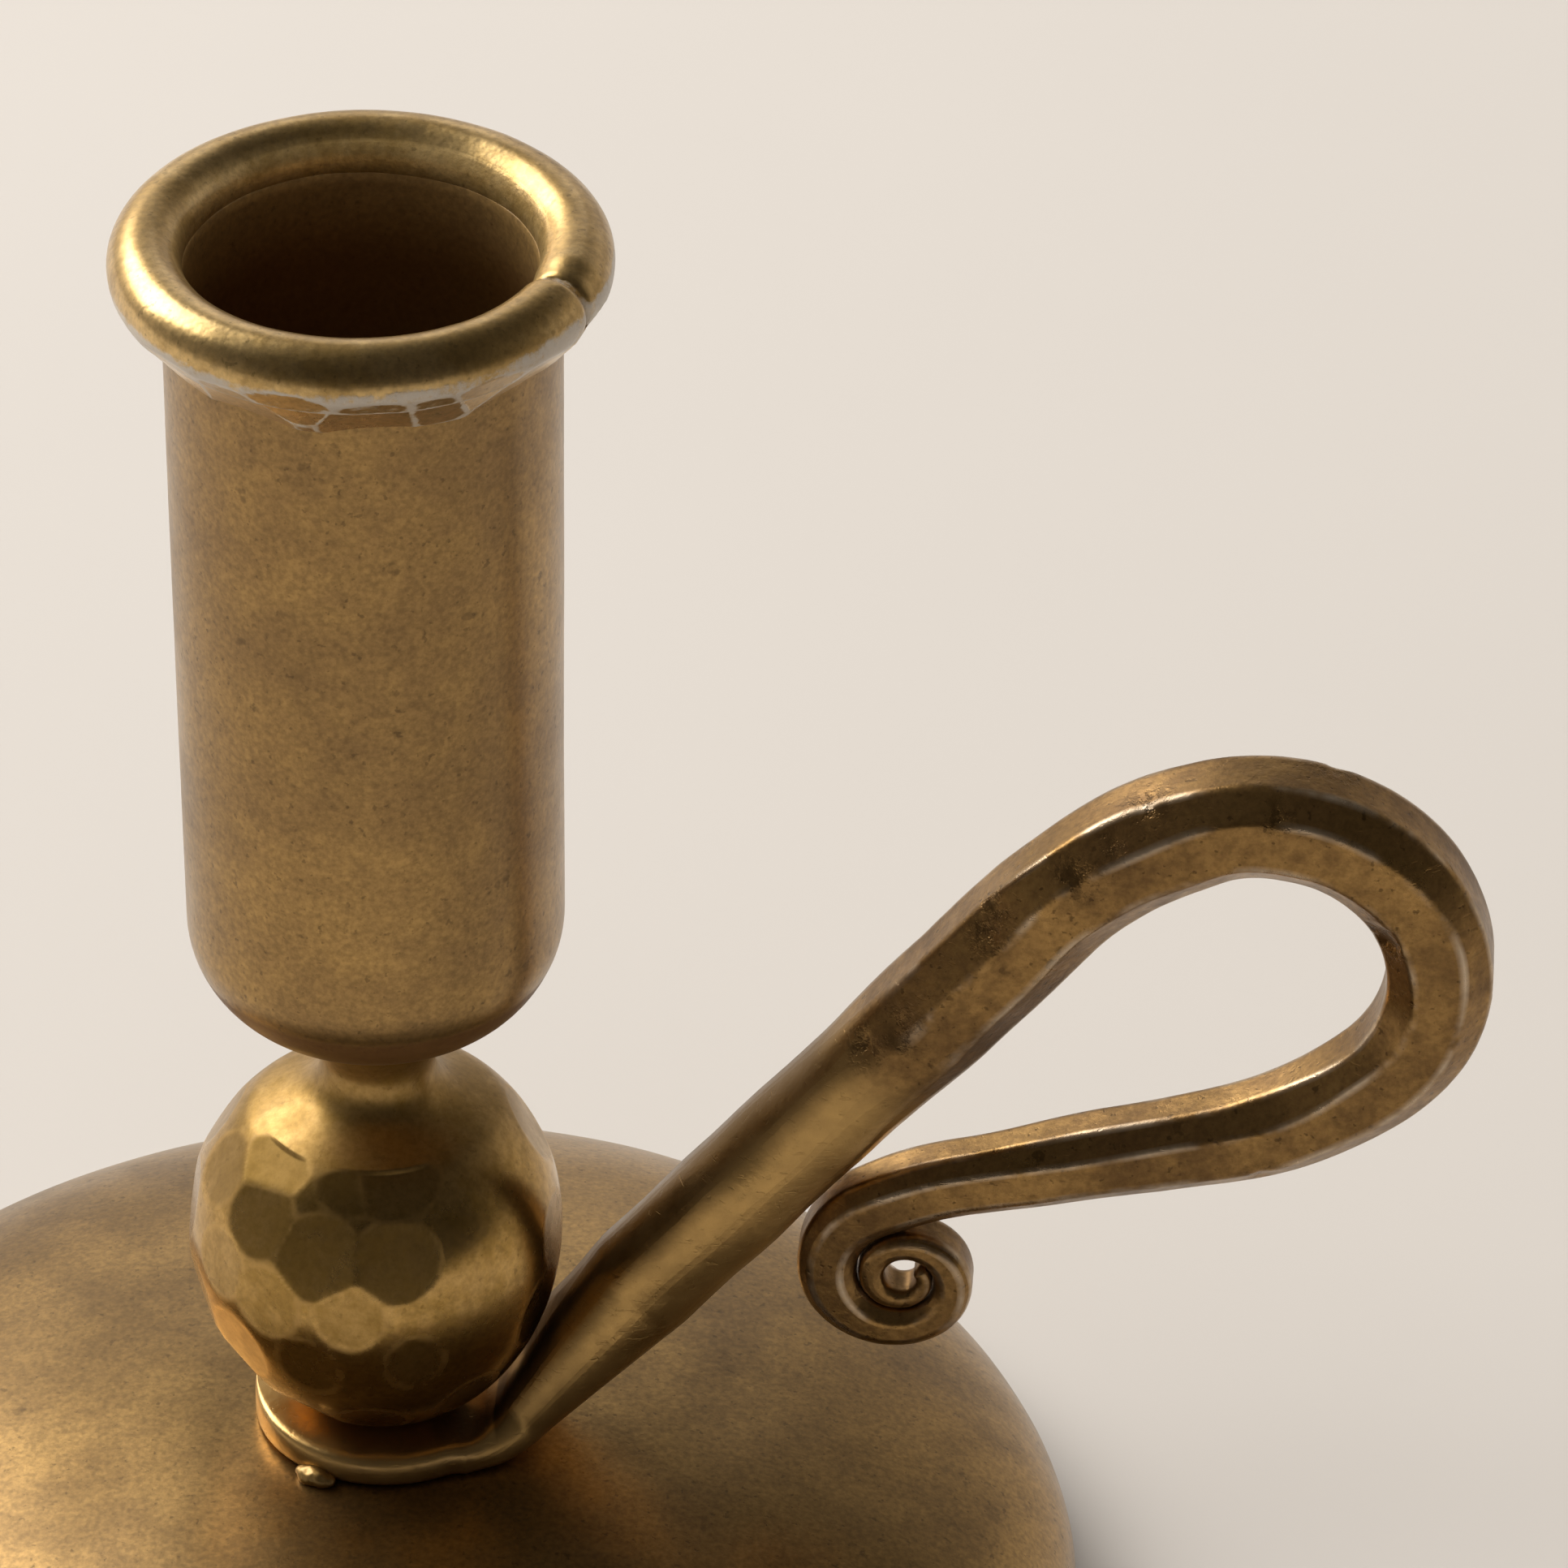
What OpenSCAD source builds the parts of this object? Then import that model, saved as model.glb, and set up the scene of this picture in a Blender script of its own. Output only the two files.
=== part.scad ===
// Forged brass chamberstick.
// A drawn candle cup with a bent-bar mouth ring stands on a forged ball, over a spun dome base.
// The flattened, pierced end of a carrying handle is clamped between the ball and the dome by
// one long screw that runs from the floor of the cup to a nut inside the base.
// Millimetres, +Z up. The origin is on the candle's axis, at the surface the base rests on.
// The handle runs along +X.

/* [Candle cup] */
// Bore of the cup, a loose fit on a 22 mm dinner candle
socket_d = 22.4; // [19:0.1:28]
// Wall at the mouth
cup_wall = 1.5; // [1:0.1:2.4]
// How much the outside radius draws in from the mouth to the foot of the straight side
cup_draft = 0.3; // [0:0.05:0.6]
// Height from the underside of the cup to the middle of the mouth ring
cup_h = 57.5; // [40:0.5:80]
// Outside radius of the rounded bottom
cup_corner_r = 7.8; // [4:0.1:10]
// Thickness of the cup's floor
cup_floor = 1.8; // [1.4:0.1:3]

/* [Mouth ring] */
// Diameter of the bar that is bent into the ring
ring_bar_d = 4.75; // [3.6:0.05:6]
// Width of the open seam where the bar's two ends meet
ring_seam = 0.35; // [0.2:0.05:1]
// Direction of the seam, seen from above
ring_seam_angle = -20; // [-180:5:180]
// Height of the braze collar, from the cup up to the ring
ring_braze_h = 3.4; // [2.4:0.1:4]

/* [Ball and neck] */
// Diameter of the ball
ball_d = 25.1; // [18:0.1:30]
// How far the ball's foot is below its middle
ball_foot_h = 13.9; // [8:0.1:18]
// Diameter of the foot that stands on the handle's eye
ball_foot_d = 9; // [7.5:0.1:12]
// Height from the middle of the ball to the underside of the cup
neck_top_h = 18; // [15.5:0.1:24]
// Diameter at the waist of the neck
neck_d = 7.6; // [7:0.1:10]
// Diameter of the collar under the cup
neck_collar_d = 12.6; // [10:0.1:16]
// Latitude on the ball where the neck's fillet begins
neck_latitude = 46; // [35:1:55]

/* [Dome base] */
// Diameter of the base
base_d = 94.4; // [75:0.2:130]
// Height of the dome above its widest line
dome_h = 15.8; // [12:0.1:26]
// How square the dome's shoulder is: 2 is an ellipse
dome_power = 2.3; // [2:0.05:3]
// Sheet thickness
base_wall = 1.2; // [0.9:0.1:2]
// Radius of the edge rolled under the dome
lip_r = 2.3; // [1.8:0.1:4]
// Width of the flange that the felt is glued to
flange_w = 6; // [4:0.5:12]
// Thickness of the felt under the base
felt_t = 1.2; // [0.8:0.1:3]
// How far the felt stops short of the base's widest line
felt_inset = 2.6; // [2:0.1:6]

/* [Handle] */
// Diameter of the bar on the rise
bar_d = 7.9; // [6:0.1:9.5]
// Diameter of the flattened eye
eye_d = 17.8; // [15:0.1:22]
// Thickness of the eye
eye_t = 2.4; // [1.8:0.1:3.5]
// Slope of the rise
rise_angle = 50.6; // [40:0.1:58]
// Length of the straight rise
rise_l = 53.4; // [38:0.2:62]
// Distance from the ball's surface to the middle of the rising bar
rise_offset = 3.6; // [3:0.1:6]
// Radius of the bend beside the eye
bend_r = 5; // [4:0.5:8]
// Width of the flattened tab between the eye and the bend
tab_w = 14.4; // [11:0.1:17]
// Thickness of the bar where the bend ends
bend_end_h = 4.2; // [3:0.1:6]
// Relief ground into the bar where it passes the ball
ball_relief = 0.15; // [0.05:0.05:0.5]
// Length over which the bar thickens from there to its full round
taper_l = 12; // [8:0.5:20]
// Radius of the long curve at the top of the rise
crown_r = 25; // [18:1:34]
// Turn of the long curve
crown_turn = 28.4; // [20:0.2:40]
// Radius of the tight end of the loop
loop_r = 11.6; // [10:0.1:16]
// Turn of the tight end
loop_turn = 160; // [140:1:165]
// Radius of the curve that eases the loop into the return
ease_r = 26; // [18:1:34]
// Turn of that curve
ease_turn = 27.6; // [16:0.2:32]
// Length of the straight part of the return
return_l = 16.4; // [8:0.2:20]
// Radius of the curve that lifts the return into the scroll
lift_r = 27.2; // [20:0.2:40]
// Turn of that curve
lift_turn = 14.2; // [8:0.2:20]
// Depth and height of the octagonal bar on the loop
loop_bar = [7.2, 7]; // [5:0.1:9]
// Depth and height of the bar where the scroll begins
tail_bar = [4.4, 4.5]; // [3:0.1:6]

/* [Scroll] */
// Radius of the scroll's centre line where it begins
scroll_r = 6; // [5:0.1:8]
// How much the radius shrinks in one full turn
scroll_shrink = 0.42; // [0.36:0.01:0.45]
// Turn of the scroll
scroll_turn = 640; // [450:10:700]
// Share of its own radius that the bar fills
scroll_fill = 0.76; // [0.6:0.01:0.8]

/* [Fasteners] */
// Screw diameter
screw_d = 4; // [3:0.5:5]
// Clearance round the screw, on the radius
screw_gap = 0.25; // [0.15:0.05:0.4]
// Screw head diameter and height
head_size = [8, 2.4]; // [2:0.1:10]
// Driver slot width and depth
slot_size = [1.1, 1.2]; // [0.8:0.1:1.6]
// Thickness of the washer on the cup's floor
cup_washer_t = 1; // [0.8:0.1:2]
// Washer inside the dome: diameter and thickness
base_washer_size = [18, 1.5]; // [1:0.1:20]
// Spring washer: diameter and thickness
lock_washer_size = [7.6, 0.9]; // [0.8:0.1:10]
// Nut: distance across flats and thickness
nut_size = [7, 3.2]; // [2.4:0.1:10]
// Running gap of the nut's thread, on the radius
thread_gap = 0.05; // [0.02:0.01:0.1]
// Length of screw left below the nut
screw_over = 1.6; // [1:0.1:3]
// Diameter of the braze beads at the eye's edge
bead_d = 2.2; // [1.6:0.1:3]
// Where the two beads are, as directions seen from above
bead_angles = [-116, 118]; // [-180:2:180]

/* [Hidden] */
$fn = 96;

BRASS = "#9a7a3c";
AGED_BRASS = "#86683a";
BRIGHT_BRASS = "#c4a258";
STEEL = "#9c9c98";
FELT = "#3a342c";

// Heights, from the table up
z_dome_rim = felt_t;
z_dome_wide = z_dome_rim + lip_r;
z_seat = z_dome_wide + dome_h;
z_eye_top = z_seat + eye_t;
z_ball = z_eye_top + ball_foot_h;
z_cup = z_ball + neck_top_h;
z_ring = z_cup + cup_h;
z_cup_floor = z_cup + cup_floor;

// Radii
socket_r = socket_d / 2;
cup_r = socket_r + cup_wall;
cup_foot_r = cup_r - cup_draft;
ring_bar_r = ring_bar_d / 2;
ring_r = socket_r + ring_bar_r;
ball_r = ball_d / 2;
neck_r = neck_d / 2;
eye_r = eye_d / 2;
base_r = base_d / 2;
screw_r = screw_d / 2;
hole_r = screw_r + screw_gap;
seat_r = eye_r + 0.6;
foot_gap = 0.5;

// The ball's lower half is stretched so that it reaches its foot at the foot's own radius
foot_r = ball_foot_d / 2;
ball_low_h = ball_foot_h / sqrt(1 - pow(foot_r / ball_r, 2));

// The dome's outline: a superellipse whose crown is pressed flat for the eye.
// Its full height is such that the flat is just as wide as the seat.
DOME_STEPS = 30;
function dome_full_h(a, h) = h / pow(1 - pow(seat_r / a, dome_power), 1 / dome_power);
function dome_point(a, h, u) =
  [a * pow(sin(u), 2 / dome_power), dome_full_h(a, h) * pow(cos(u), 2 / dome_power)];
function dome_curve(a, h) = [
  [0, h],
  [seat_r, h],
  for (i = [1 : DOME_STEPS]) let (p = dome_point(a, h, 90 * i / DOME_STEPS)) if (p[0] > seat_r) p,
];
function arc_points(c, r, from, to, n) =
  [for (i = [0 : n]) let (t = from + (to - from) * i / n) [c[0] + r * cos(t), c[1] + r * sin(t)]];

module up(z) { translate([0, 0, z]) children(); }

// A washer or a disc with its hole, standing on z = 0
module washer(d, t, r_hole) {
  difference() {
    cylinder(h = t, d = d);
    translate([0, 0, -1]) cylinder(h = t + 2, r = r_hole);
  }
}

// ---- Base ----
// Region under the outside of the dome (wall = 0) or under its inner face
module dome_region(wall) {
  a = base_r - wall;
  h = dome_h - wall;
  roll_r = lip_r - wall;
  polygon(concat(
    [for (p = dome_curve(a, h)) [p[0], p[1] + z_dome_wide]],
    arc_points([base_r - lip_r, z_dome_wide], roll_r, -10, -90, 8),
    [[0, z_dome_wide - roll_r]]
  ));
}

module base_dome() {
  flange_r = base_r - lip_r - flange_w;
  color(BRASS) difference() {
    rotate_extrude() difference() {
      dome_region(0);
      dome_region(base_wall);
      translate([0, z_dome_rim - 1]) square([flange_r, lip_r]);
    }
    up(z_seat - base_wall - 1) cylinder(h = base_wall + 2, r = hole_r);
  }
}

module felt_disc() {
  color(FELT) cylinder(h = felt_t, r = base_r - felt_inset);
}

// ---- Ball and neck ----
function ball_low(extra) = [for (i = [0 : 12]) let (t = asin(ball_foot_h / ball_low_h) * (1 - i / 12))
  [(ball_r + extra) * cos(t), -(ball_low_h + extra) * sin(t)]];
function ball_high(extra, to) = [for (i = [1 : 9]) let (t = to * i / 10)
  (ball_r + extra) * [cos(t), sin(t)]];

NECK_STEPS = 10;
// The ball turns into the neck along one cubic, and the neck into its collar along another
// The collar starts a little inside the cup, and the cup cuts it off
collar_over = 0.8;
shoulder = [ball_r * cos(neck_latitude), ball_r * sin(neck_latitude)];
waist_h = shoulder[1] + 1.2 * neck_r;
function mix(a, b, t) = a + (b - a) * t;
function cubic(p, t) =
  pow(1 - t, 3) * p[0] + 3 * t * pow(1 - t, 2) * p[1] + 3 * t * t * (1 - t) * p[2] + pow(t, 3) * p[3];
shoulder_pull = 0.35 * (shoulder[0] - neck_r);
shoulder_curve = [
  shoulder,
  shoulder + shoulder_pull * [-sin(neck_latitude), cos(neck_latitude)],
  [neck_r, mix(shoulder[1], waist_h, 0.35)],
  [neck_r, waist_h],
];
collar_r = neck_collar_d / 2;
collar_curve = [
  [neck_r, waist_h],
  [neck_r, mix(waist_h, neck_top_h, 0.3)],
  [mix(neck_r, collar_r, 0.55), mix(waist_h, neck_top_h, 0.55)],
  [collar_r, neck_top_h + collar_over],
];
function bezier(p) = [for (i = [0 : NECK_STEPS]) cubic(p, i / NECK_STEPS)];

module stem_ball() {
  color(BRIGHT_BRASS) difference() {
    up(z_ball) rotate_extrude() polygon(concat(
      [[0, -ball_foot_h]],
      ball_low(0),
      ball_high(0, neck_latitude),
      bezier(shoulder_curve),
      [for (i = [1 : NECK_STEPS]) cubic(collar_curve, i / NECK_STEPS)],
      [[0, neck_top_h + collar_over]]
    ));
    cup_outside();
    up(z_eye_top - 1) cylinder(h = z_cup - z_eye_top + 2, r = hole_r);
  }
}

// ---- Candle cup ----
module cup_outside() {
  up(z_cup) rotate_extrude() polygon(concat(
    [[0, 0]],
    arc_points([cup_foot_r - cup_corner_r, cup_corner_r], cup_corner_r, -90, 0, 10),
    [[cup_r, cup_h], [0, cup_h]]
  ));
}

bore_round = cup_corner_r - cup_wall;
floor_flat_r = socket_r - bore_round;
washer_gap = 0.1;

module candle_cup() {
  color(BRASS) difference() {
    cup_outside();
    up(z_cup_floor) rotate_extrude() polygon(concat(
      [[0, 0]],
      arc_points([floor_flat_r, bore_round], bore_round, -90, 0, 10),
      [[socket_r, cup_h], [0, cup_h]]
    ));
    up(z_ring) ring_torus(ring_bar_r);
    up(z_ring - 0.6 * ring_bar_r) cylinder(h = cup_h, r = cup_r + 1);
    up(z_cup - 1) cylinder(h = cup_floor + 2, r = hole_r);
  }
}

// ---- Mouth ring ----
module ring_torus(bar_r) {
  rotate_extrude() translate([ring_r, 0]) circle(r = bar_r);
}

module rim_ring() {
  color(BRASS) up(z_ring) difference() {
    ring_torus(ring_bar_r);
    rotate([0, 0, ring_seam_angle]) translate([0, -ring_seam / 2, -ring_bar_d])
      cube([ring_r + ring_bar_d, ring_seam, 2 * ring_bar_d]);
  }
}

// The collar of braze runs from the ring's lower outside down to the cup
braze_edge = 0.05;
braze_drop = 0.55 * ring_bar_r;
braze_r = ring_r + sqrt(pow(ring_bar_r, 2) - pow(braze_drop, 2));
module rim_braze() {
  color(AGED_BRASS) difference() {
    up(z_ring - braze_drop - ring_braze_h) rotate_extrude() polygon([
      [cup_r - cup_draft, 0],
      [cup_r + braze_edge, 0],
      [braze_r, ring_braze_h],
      [cup_r - cup_draft, ring_braze_h],
    ]);
    cup_outside();
    up(z_ring) ring_torus(ring_bar_r);
  }
}

// ---- Handle ----
// The handle's centre line lies in the XZ plane. A state is [x, z, heading, length so far].
function ahead(s, l) = [s[0] + l * cos(s[2]), s[1] + l * sin(s[2]), s[2], s[3] + l];
function along_arc(s, r, turn) = let (
  side = turn > 0 ? 1 : -1,
  cx = s[0] - side * r * sin(s[2]),
  cz = s[1] + side * r * cos(s[2]),
  a = s[2] + turn
) [cx + side * r * sin(a), cz - side * r * cos(a), a, s[3] + r * abs(turn) * PI / 180];
function arc_states(s, r, turn, n) = [for (i = [1 : n]) along_arc(s, r, turn * i / n)];
function straight_states(s, l, n) = [for (i = [1 : n]) ahead(s, l * i / n)];
function last(v) = v[len(v) - 1];

// The scroll is a logarithmic spiral that starts where the bar ends, in the same direction
scroll_pitch = atan(-ln(scroll_shrink) / (2 * PI));
function scroll_radius(turned) = scroll_r * pow(scroll_shrink, turned / 360);
function scroll_states(s, n) = let (
  a0 = s[2] - 90 - scroll_pitch,
  cx = s[0] - scroll_r * cos(a0),
  cz = s[1] - scroll_r * sin(a0)
) [for (i = [1 : n]) let (t = scroll_turn * i / n, r = scroll_radius(t), a = a0 + t)
  [cx + r * cos(a), cz + r * sin(a), a + 90 + scroll_pitch, s[3] + (scroll_r - r) / sin(scroll_pitch)]];

// The line of the rise crosses the eye's middle plane where it clears the ball's side and its foot
bend_cut = bend_r * tan(rise_angle / 2);
side_x = (ball_r + rise_offset - (ball_foot_h + eye_t / 2) * cos(rise_angle)) / sin(rise_angle);
flat_l = max(side_x - bend_cut, foot_r + foot_gap);
tail = [0, z_seat + eye_t / 2, 0, 0];
flat_end = ahead(tail, flat_l);
bend = arc_states(flat_end, bend_r, rise_angle, 8);
rise = straight_states(last(bend), rise_l, 10);
crown = arc_states(last(rise), crown_r, -crown_turn, 6);
loop = arc_states(last(crown), loop_r, -loop_turn, 18);
ease = arc_states(last(loop), ease_r, -ease_turn, 5);
straight = straight_states(last(ease), return_l, 3);
lift = arc_states(last(straight), lift_r, lift_turn, 3);
scroll = scroll_states(last(lift), 48);
handle_path = concat([tail, flat_end], bend, rise, crown, loop, ease, straight, lift, scroll);

// Depth across the handle, height in its plane, and corner cut, at stations along its length.
// In the bend the bar thickens no faster than keeps its underside above the dome's seat.
round_cut = 0.293 * bar_d;
l_bend = last(bend)[3];
function bend_lift(t) = bend_r * (1 - cos(t * rise_angle));
function bend_h(t) =
  min(mix(eye_t, bend_end_h, t), (eye_t + 1.8 * bend_lift(t)) / cos(t * rise_angle));
function bend_w(t) = mix(tab_w, bar_d, 0.6 * t);
stations = [
  [0, [tab_w, eye_t, 0.5]],
  for (t = [0 : 0.125 : 1]) [mix(flat_end[3], l_bend, t), [bend_w(t), bend_h(t), 0.5 + 0.8 * t]],
  [l_bend + taper_l, [bar_d, bar_d, round_cut]],
  [last(rise)[3], [bar_d, bar_d, round_cut]],
  [last(crown)[3], [loop_bar[0], loop_bar[1] + 0.3, 1.8]],
  [mix(last(crown)[3], last(loop)[3], 0.7), [loop_bar[0], loop_bar[1], 1.8]],
  [last(ease)[3], [mix(tail_bar[0], loop_bar[0], 0.45), mix(tail_bar[1], loop_bar[1], 0.4), 1.5]],
  [last(lift)[3], [tail_bar[0], tail_bar[1], 1.1]],
];
function station_value(s, k) = lookup(s, [for (v = stations) [v[0], v[1][k]]]);
function is_scroll(s) = s[3] > last(lift)[3] + 0.01;
function scroll_size(s) = let (r = scroll_r - (s[3] - last(lift)[3]) * sin(scroll_pitch))
  [mix(0.6 * tail_bar[0], tail_bar[0], r / scroll_r), scroll_fill * r, 0.24 * scroll_fill * r];
function bar_size(s) = is_scroll(s) ? scroll_size(s) : [for (k = [0 : 2]) station_value(s[3], k)];
function octagon(w, h, c) = [
  [w, h - c], [w - c, h], [c - w, h], [-w, h - c], [-w, c - h], [c - w, -h], [w - c, -h], [w, c - h],
];
function ring_at(s) = let (b = bar_size(s))
  [for (q = octagon(b[0] / 2, b[1] / 2, b[2])) [s[0] - q[1] * sin(s[2]), q[0], s[1] + q[1] * cos(s[2])]];

module swept_bar(path) {
  n = len(path);
  polyhedron(
    points = [for (s = path) each ring_at(s)],
    faces = concat(
      [[for (j = [0 : 7]) j]],
      [for (i = [0 : n - 2], j = [0 : 7]) let (k = (j + 1) % 8)
        [8 * (i + 1) + j, 8 * (i + 1) + k, 8 * i + k, 8 * i + j]],
      [[for (j = [7 : -1 : 0]) 8 * (n - 1) + j]]
    )
  );
}

module handle() {
  color(AGED_BRASS) difference() {
    union() {
      swept_bar(handle_path);
      up(z_seat) cylinder(h = eye_t, d = eye_d);
    }
    up(z_seat - 1) cylinder(h = eye_t + 2, r = hole_r);
    ball_clearance();
  }
}

// The ball's own shape, a little larger, from just above the eye up
module ball_clearance() {
  foot_clear = 0.6;
  up(z_ball) rotate_extrude() intersection() {
    polygon(concat([[0, -ball_foot_h]], ball_low(ball_relief), ball_high(ball_relief, 90), [[0, ball_r]]));
    translate([0, foot_clear - ball_foot_h]) square(ball_d + ball_foot_h);
  }
}

// Two beads of braze that stop the eye from turning on the dome
module eye_braze() {
  color(BRIGHT_BRASS) for (a = bead_angles) rotate([0, 0, a]) difference() {
    translate([eye_r + 0.2 * bead_d, 0, z_seat + 0.15 * bead_d]) sphere(d = bead_d);
    translate([eye_r - bead_d, -bead_d, z_seat - 2 * bead_d]) cube(2 * bead_d);
    up(z_seat - 1) cylinder(h = eye_t + 2, r = eye_r);
  }
}

// ---- Fasteners ----
z_head = z_cup_floor + cup_washer_t;
z_washer = z_seat - base_wall - base_washer_size[1];
z_lock = z_washer - lock_washer_size[1];
z_nut = z_lock - nut_size[1];

module tie_screw() {
  color(STEEL) difference() {
    union() {
      up(z_head) rotate_extrude() intersection() {
        translate([0, -head_size[0]]) circle(r = head_size[0] + head_size[1]);
        square([head_size[0] / 2, head_size[1]]);
      }
      up(z_nut - screw_over) cylinder(h = z_head - z_nut + screw_over + 0.1, r = screw_r);
    }
    translate([-head_size[0], -slot_size[0] / 2, z_head + head_size[1] - slot_size[1]])
      cube([2 * head_size[0], slot_size[0], slot_size[1] + 1]);
  }
}

module cup_washer() {
  color(BRASS) up(z_cup_floor) washer(2 * (floor_flat_r - washer_gap), cup_washer_t, hole_r);
}

module base_washer() {
  color(STEEL) up(z_washer) washer(base_washer_size[0], base_washer_size[1], hole_r);
}

module lock_washer() {
  color(STEEL) up(z_lock) difference() {
    washer(lock_washer_size[0], lock_washer_size[1], screw_r + 0.1);
    rotate([0, 0, 40]) translate([0, -0.35, -1]) cube([lock_washer_size[0], 0.7, 4]);
  }
}

module base_nut() {
  color(STEEL) up(z_nut) difference() {
    cylinder(h = nut_size[1], d = nut_size[0] / cos(30), $fn = 6);
    up(-1) cylinder(h = nut_size[1] + 2, r = screw_r + thread_gap);
  }
}

base_dome();
handle();
stem_ball();
candle_cup();
rim_ring();
rim_braze();
eye_braze();
tie_screw();
cup_washer();
base_washer();
lock_washer();
base_nut();
felt_disc();
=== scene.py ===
"""A forged brass candlestick: domed base, hammered ball, candle cup and scrolled handle."""
import math
import random

import bmesh
import bpy
from mathutils import Matrix, Vector, noise


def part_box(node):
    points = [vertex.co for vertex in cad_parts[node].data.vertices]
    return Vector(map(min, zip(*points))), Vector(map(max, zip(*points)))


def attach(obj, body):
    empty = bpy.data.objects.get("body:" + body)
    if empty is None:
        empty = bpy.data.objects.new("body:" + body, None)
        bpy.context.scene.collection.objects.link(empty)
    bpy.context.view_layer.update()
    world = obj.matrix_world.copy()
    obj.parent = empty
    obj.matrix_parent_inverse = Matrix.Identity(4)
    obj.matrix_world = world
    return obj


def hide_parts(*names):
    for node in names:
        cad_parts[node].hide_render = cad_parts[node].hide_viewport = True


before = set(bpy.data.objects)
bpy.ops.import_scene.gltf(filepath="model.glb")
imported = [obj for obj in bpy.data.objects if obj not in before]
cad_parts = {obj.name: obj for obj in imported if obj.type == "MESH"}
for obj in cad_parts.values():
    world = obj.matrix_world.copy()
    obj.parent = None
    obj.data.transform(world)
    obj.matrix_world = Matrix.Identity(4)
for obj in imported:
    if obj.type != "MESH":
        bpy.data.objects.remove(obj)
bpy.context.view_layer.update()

bl_info = {
    "name": "Brass Candlestick",
    "version": (1, 0, 0),
    "blender": (4, 5, 0),
    "location": "View3D > Sidebar > Candlestick",
    "description": "Builds a forged and hammered brass candlestick round its packed frame",
    "category": "Add Mesh",
}

MM = 0.001


def corners(node):
    """The lowest and the highest corner of a CAD node."""
    return [Vector(corner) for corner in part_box(node)]


DOME_LOW, DOME_HIGH = corners("base_dome")
BALL_LOW, BALL_HIGH = corners("stem_ball")
CUP_LOW, CUP_HIGH = corners("candle_cup")
RING_LOW, RING_HIGH = corners("rim_ring")
FELT_HIGH = corners("felt_disc")[1]
HANDLE_HIGH = corners("handle")[1]

SEAT_Z = DOME_HIGH.z
RING_Z = (RING_LOW.z + RING_HIGH.z) / 2
BALL_R = BALL_HIGH.x
CUP_R = CUP_HIGH.x
DOME_R = DOME_HIGH.x
DOME_SEAT_R = 9.5 * MM
BALL_FOOT_H = 13.9 * MM

# The viewing direction, which also says where the ball's plainest hammer marks are
VIEW_AZIMUTH = math.radians(4)
VIEW_HEIGHT = math.radians(34.994)
VIEW_ROLL = math.radians(0.3756)
BACK = Vector((
    math.sin(VIEW_AZIMUTH) * math.cos(VIEW_HEIGHT),
    -math.cos(VIEW_AZIMUTH) * math.cos(VIEW_HEIGHT),
    math.sin(VIEW_HEIGHT),
))
RIGHT = Vector((math.cos(VIEW_AZIMUTH), math.sin(VIEW_AZIMUTH), 0))
UP = BACK.cross(RIGHT)


# ---- Sizes and colours ----
def length(name, description, default, low=0.0, high=0.2):
    return bpy.props.FloatProperty(
        name=name, description=description, default=default, min=low, max=high,
        subtype="DISTANCE", unit="LENGTH", precision=5,
    )


def tint(name, description, default):
    return bpy.props.FloatVectorProperty(
        name=name, description=description, default=default, min=0, max=1, size=3, subtype="COLOR"
    )


class CandlestickSizes(bpy.types.PropertyGroup):
    """Sizes of the candlestick's pieces"""
    dome_wall: length("Dome wall", "Thickness of the dome's sheet", 1.2 * MM)
    dome_lip: length("Dome lip", "Radius of the rolled lip", 2.3 * MM)
    dome_flange: length("Dome flange", "Width of the flange under the dome", 6 * MM)
    cup_wall: length("Cup wall", "Thickness of the cup's wall", 1.5 * MM)
    cup_floor: length("Cup floor", "Thickness of the cup's floor", 1.8 * MM)
    cup_corner: length("Cup corner", "Radius of the cup's rounded foot", 7.8 * MM)
    cup_draft: length("Cup draft", "How much the foot's radius is less than the mouth's", 0.3 * MM)
    screw_hole: length("Screw hole", "Radius of the hole for the tie screw", 2.25 * MM)
    neck_waist: length("Neck waist", "Radius of the neck at its waist", 3.8 * MM)
    neck_collar: length("Neck collar", "Radius of the neck under the cup", 6.3 * MM)
    ball_foot: length("Ball foot", "Radius of the ball's foot", 4.5 * MM)
    ring_seam: length("Ring seam", "Width of the ring's open seam", 0.5 * MM)
    braze_height: length("Braze height", "Height of the braze collar under the ring", 3.4 * MM)
    eye_radius: length("Eye radius", "Radius of the handle's flat eye", 8.9 * MM)
    bead: length("Braze bead", "Radius of a braze bead beside the eye", 1.1 * MM)


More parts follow.
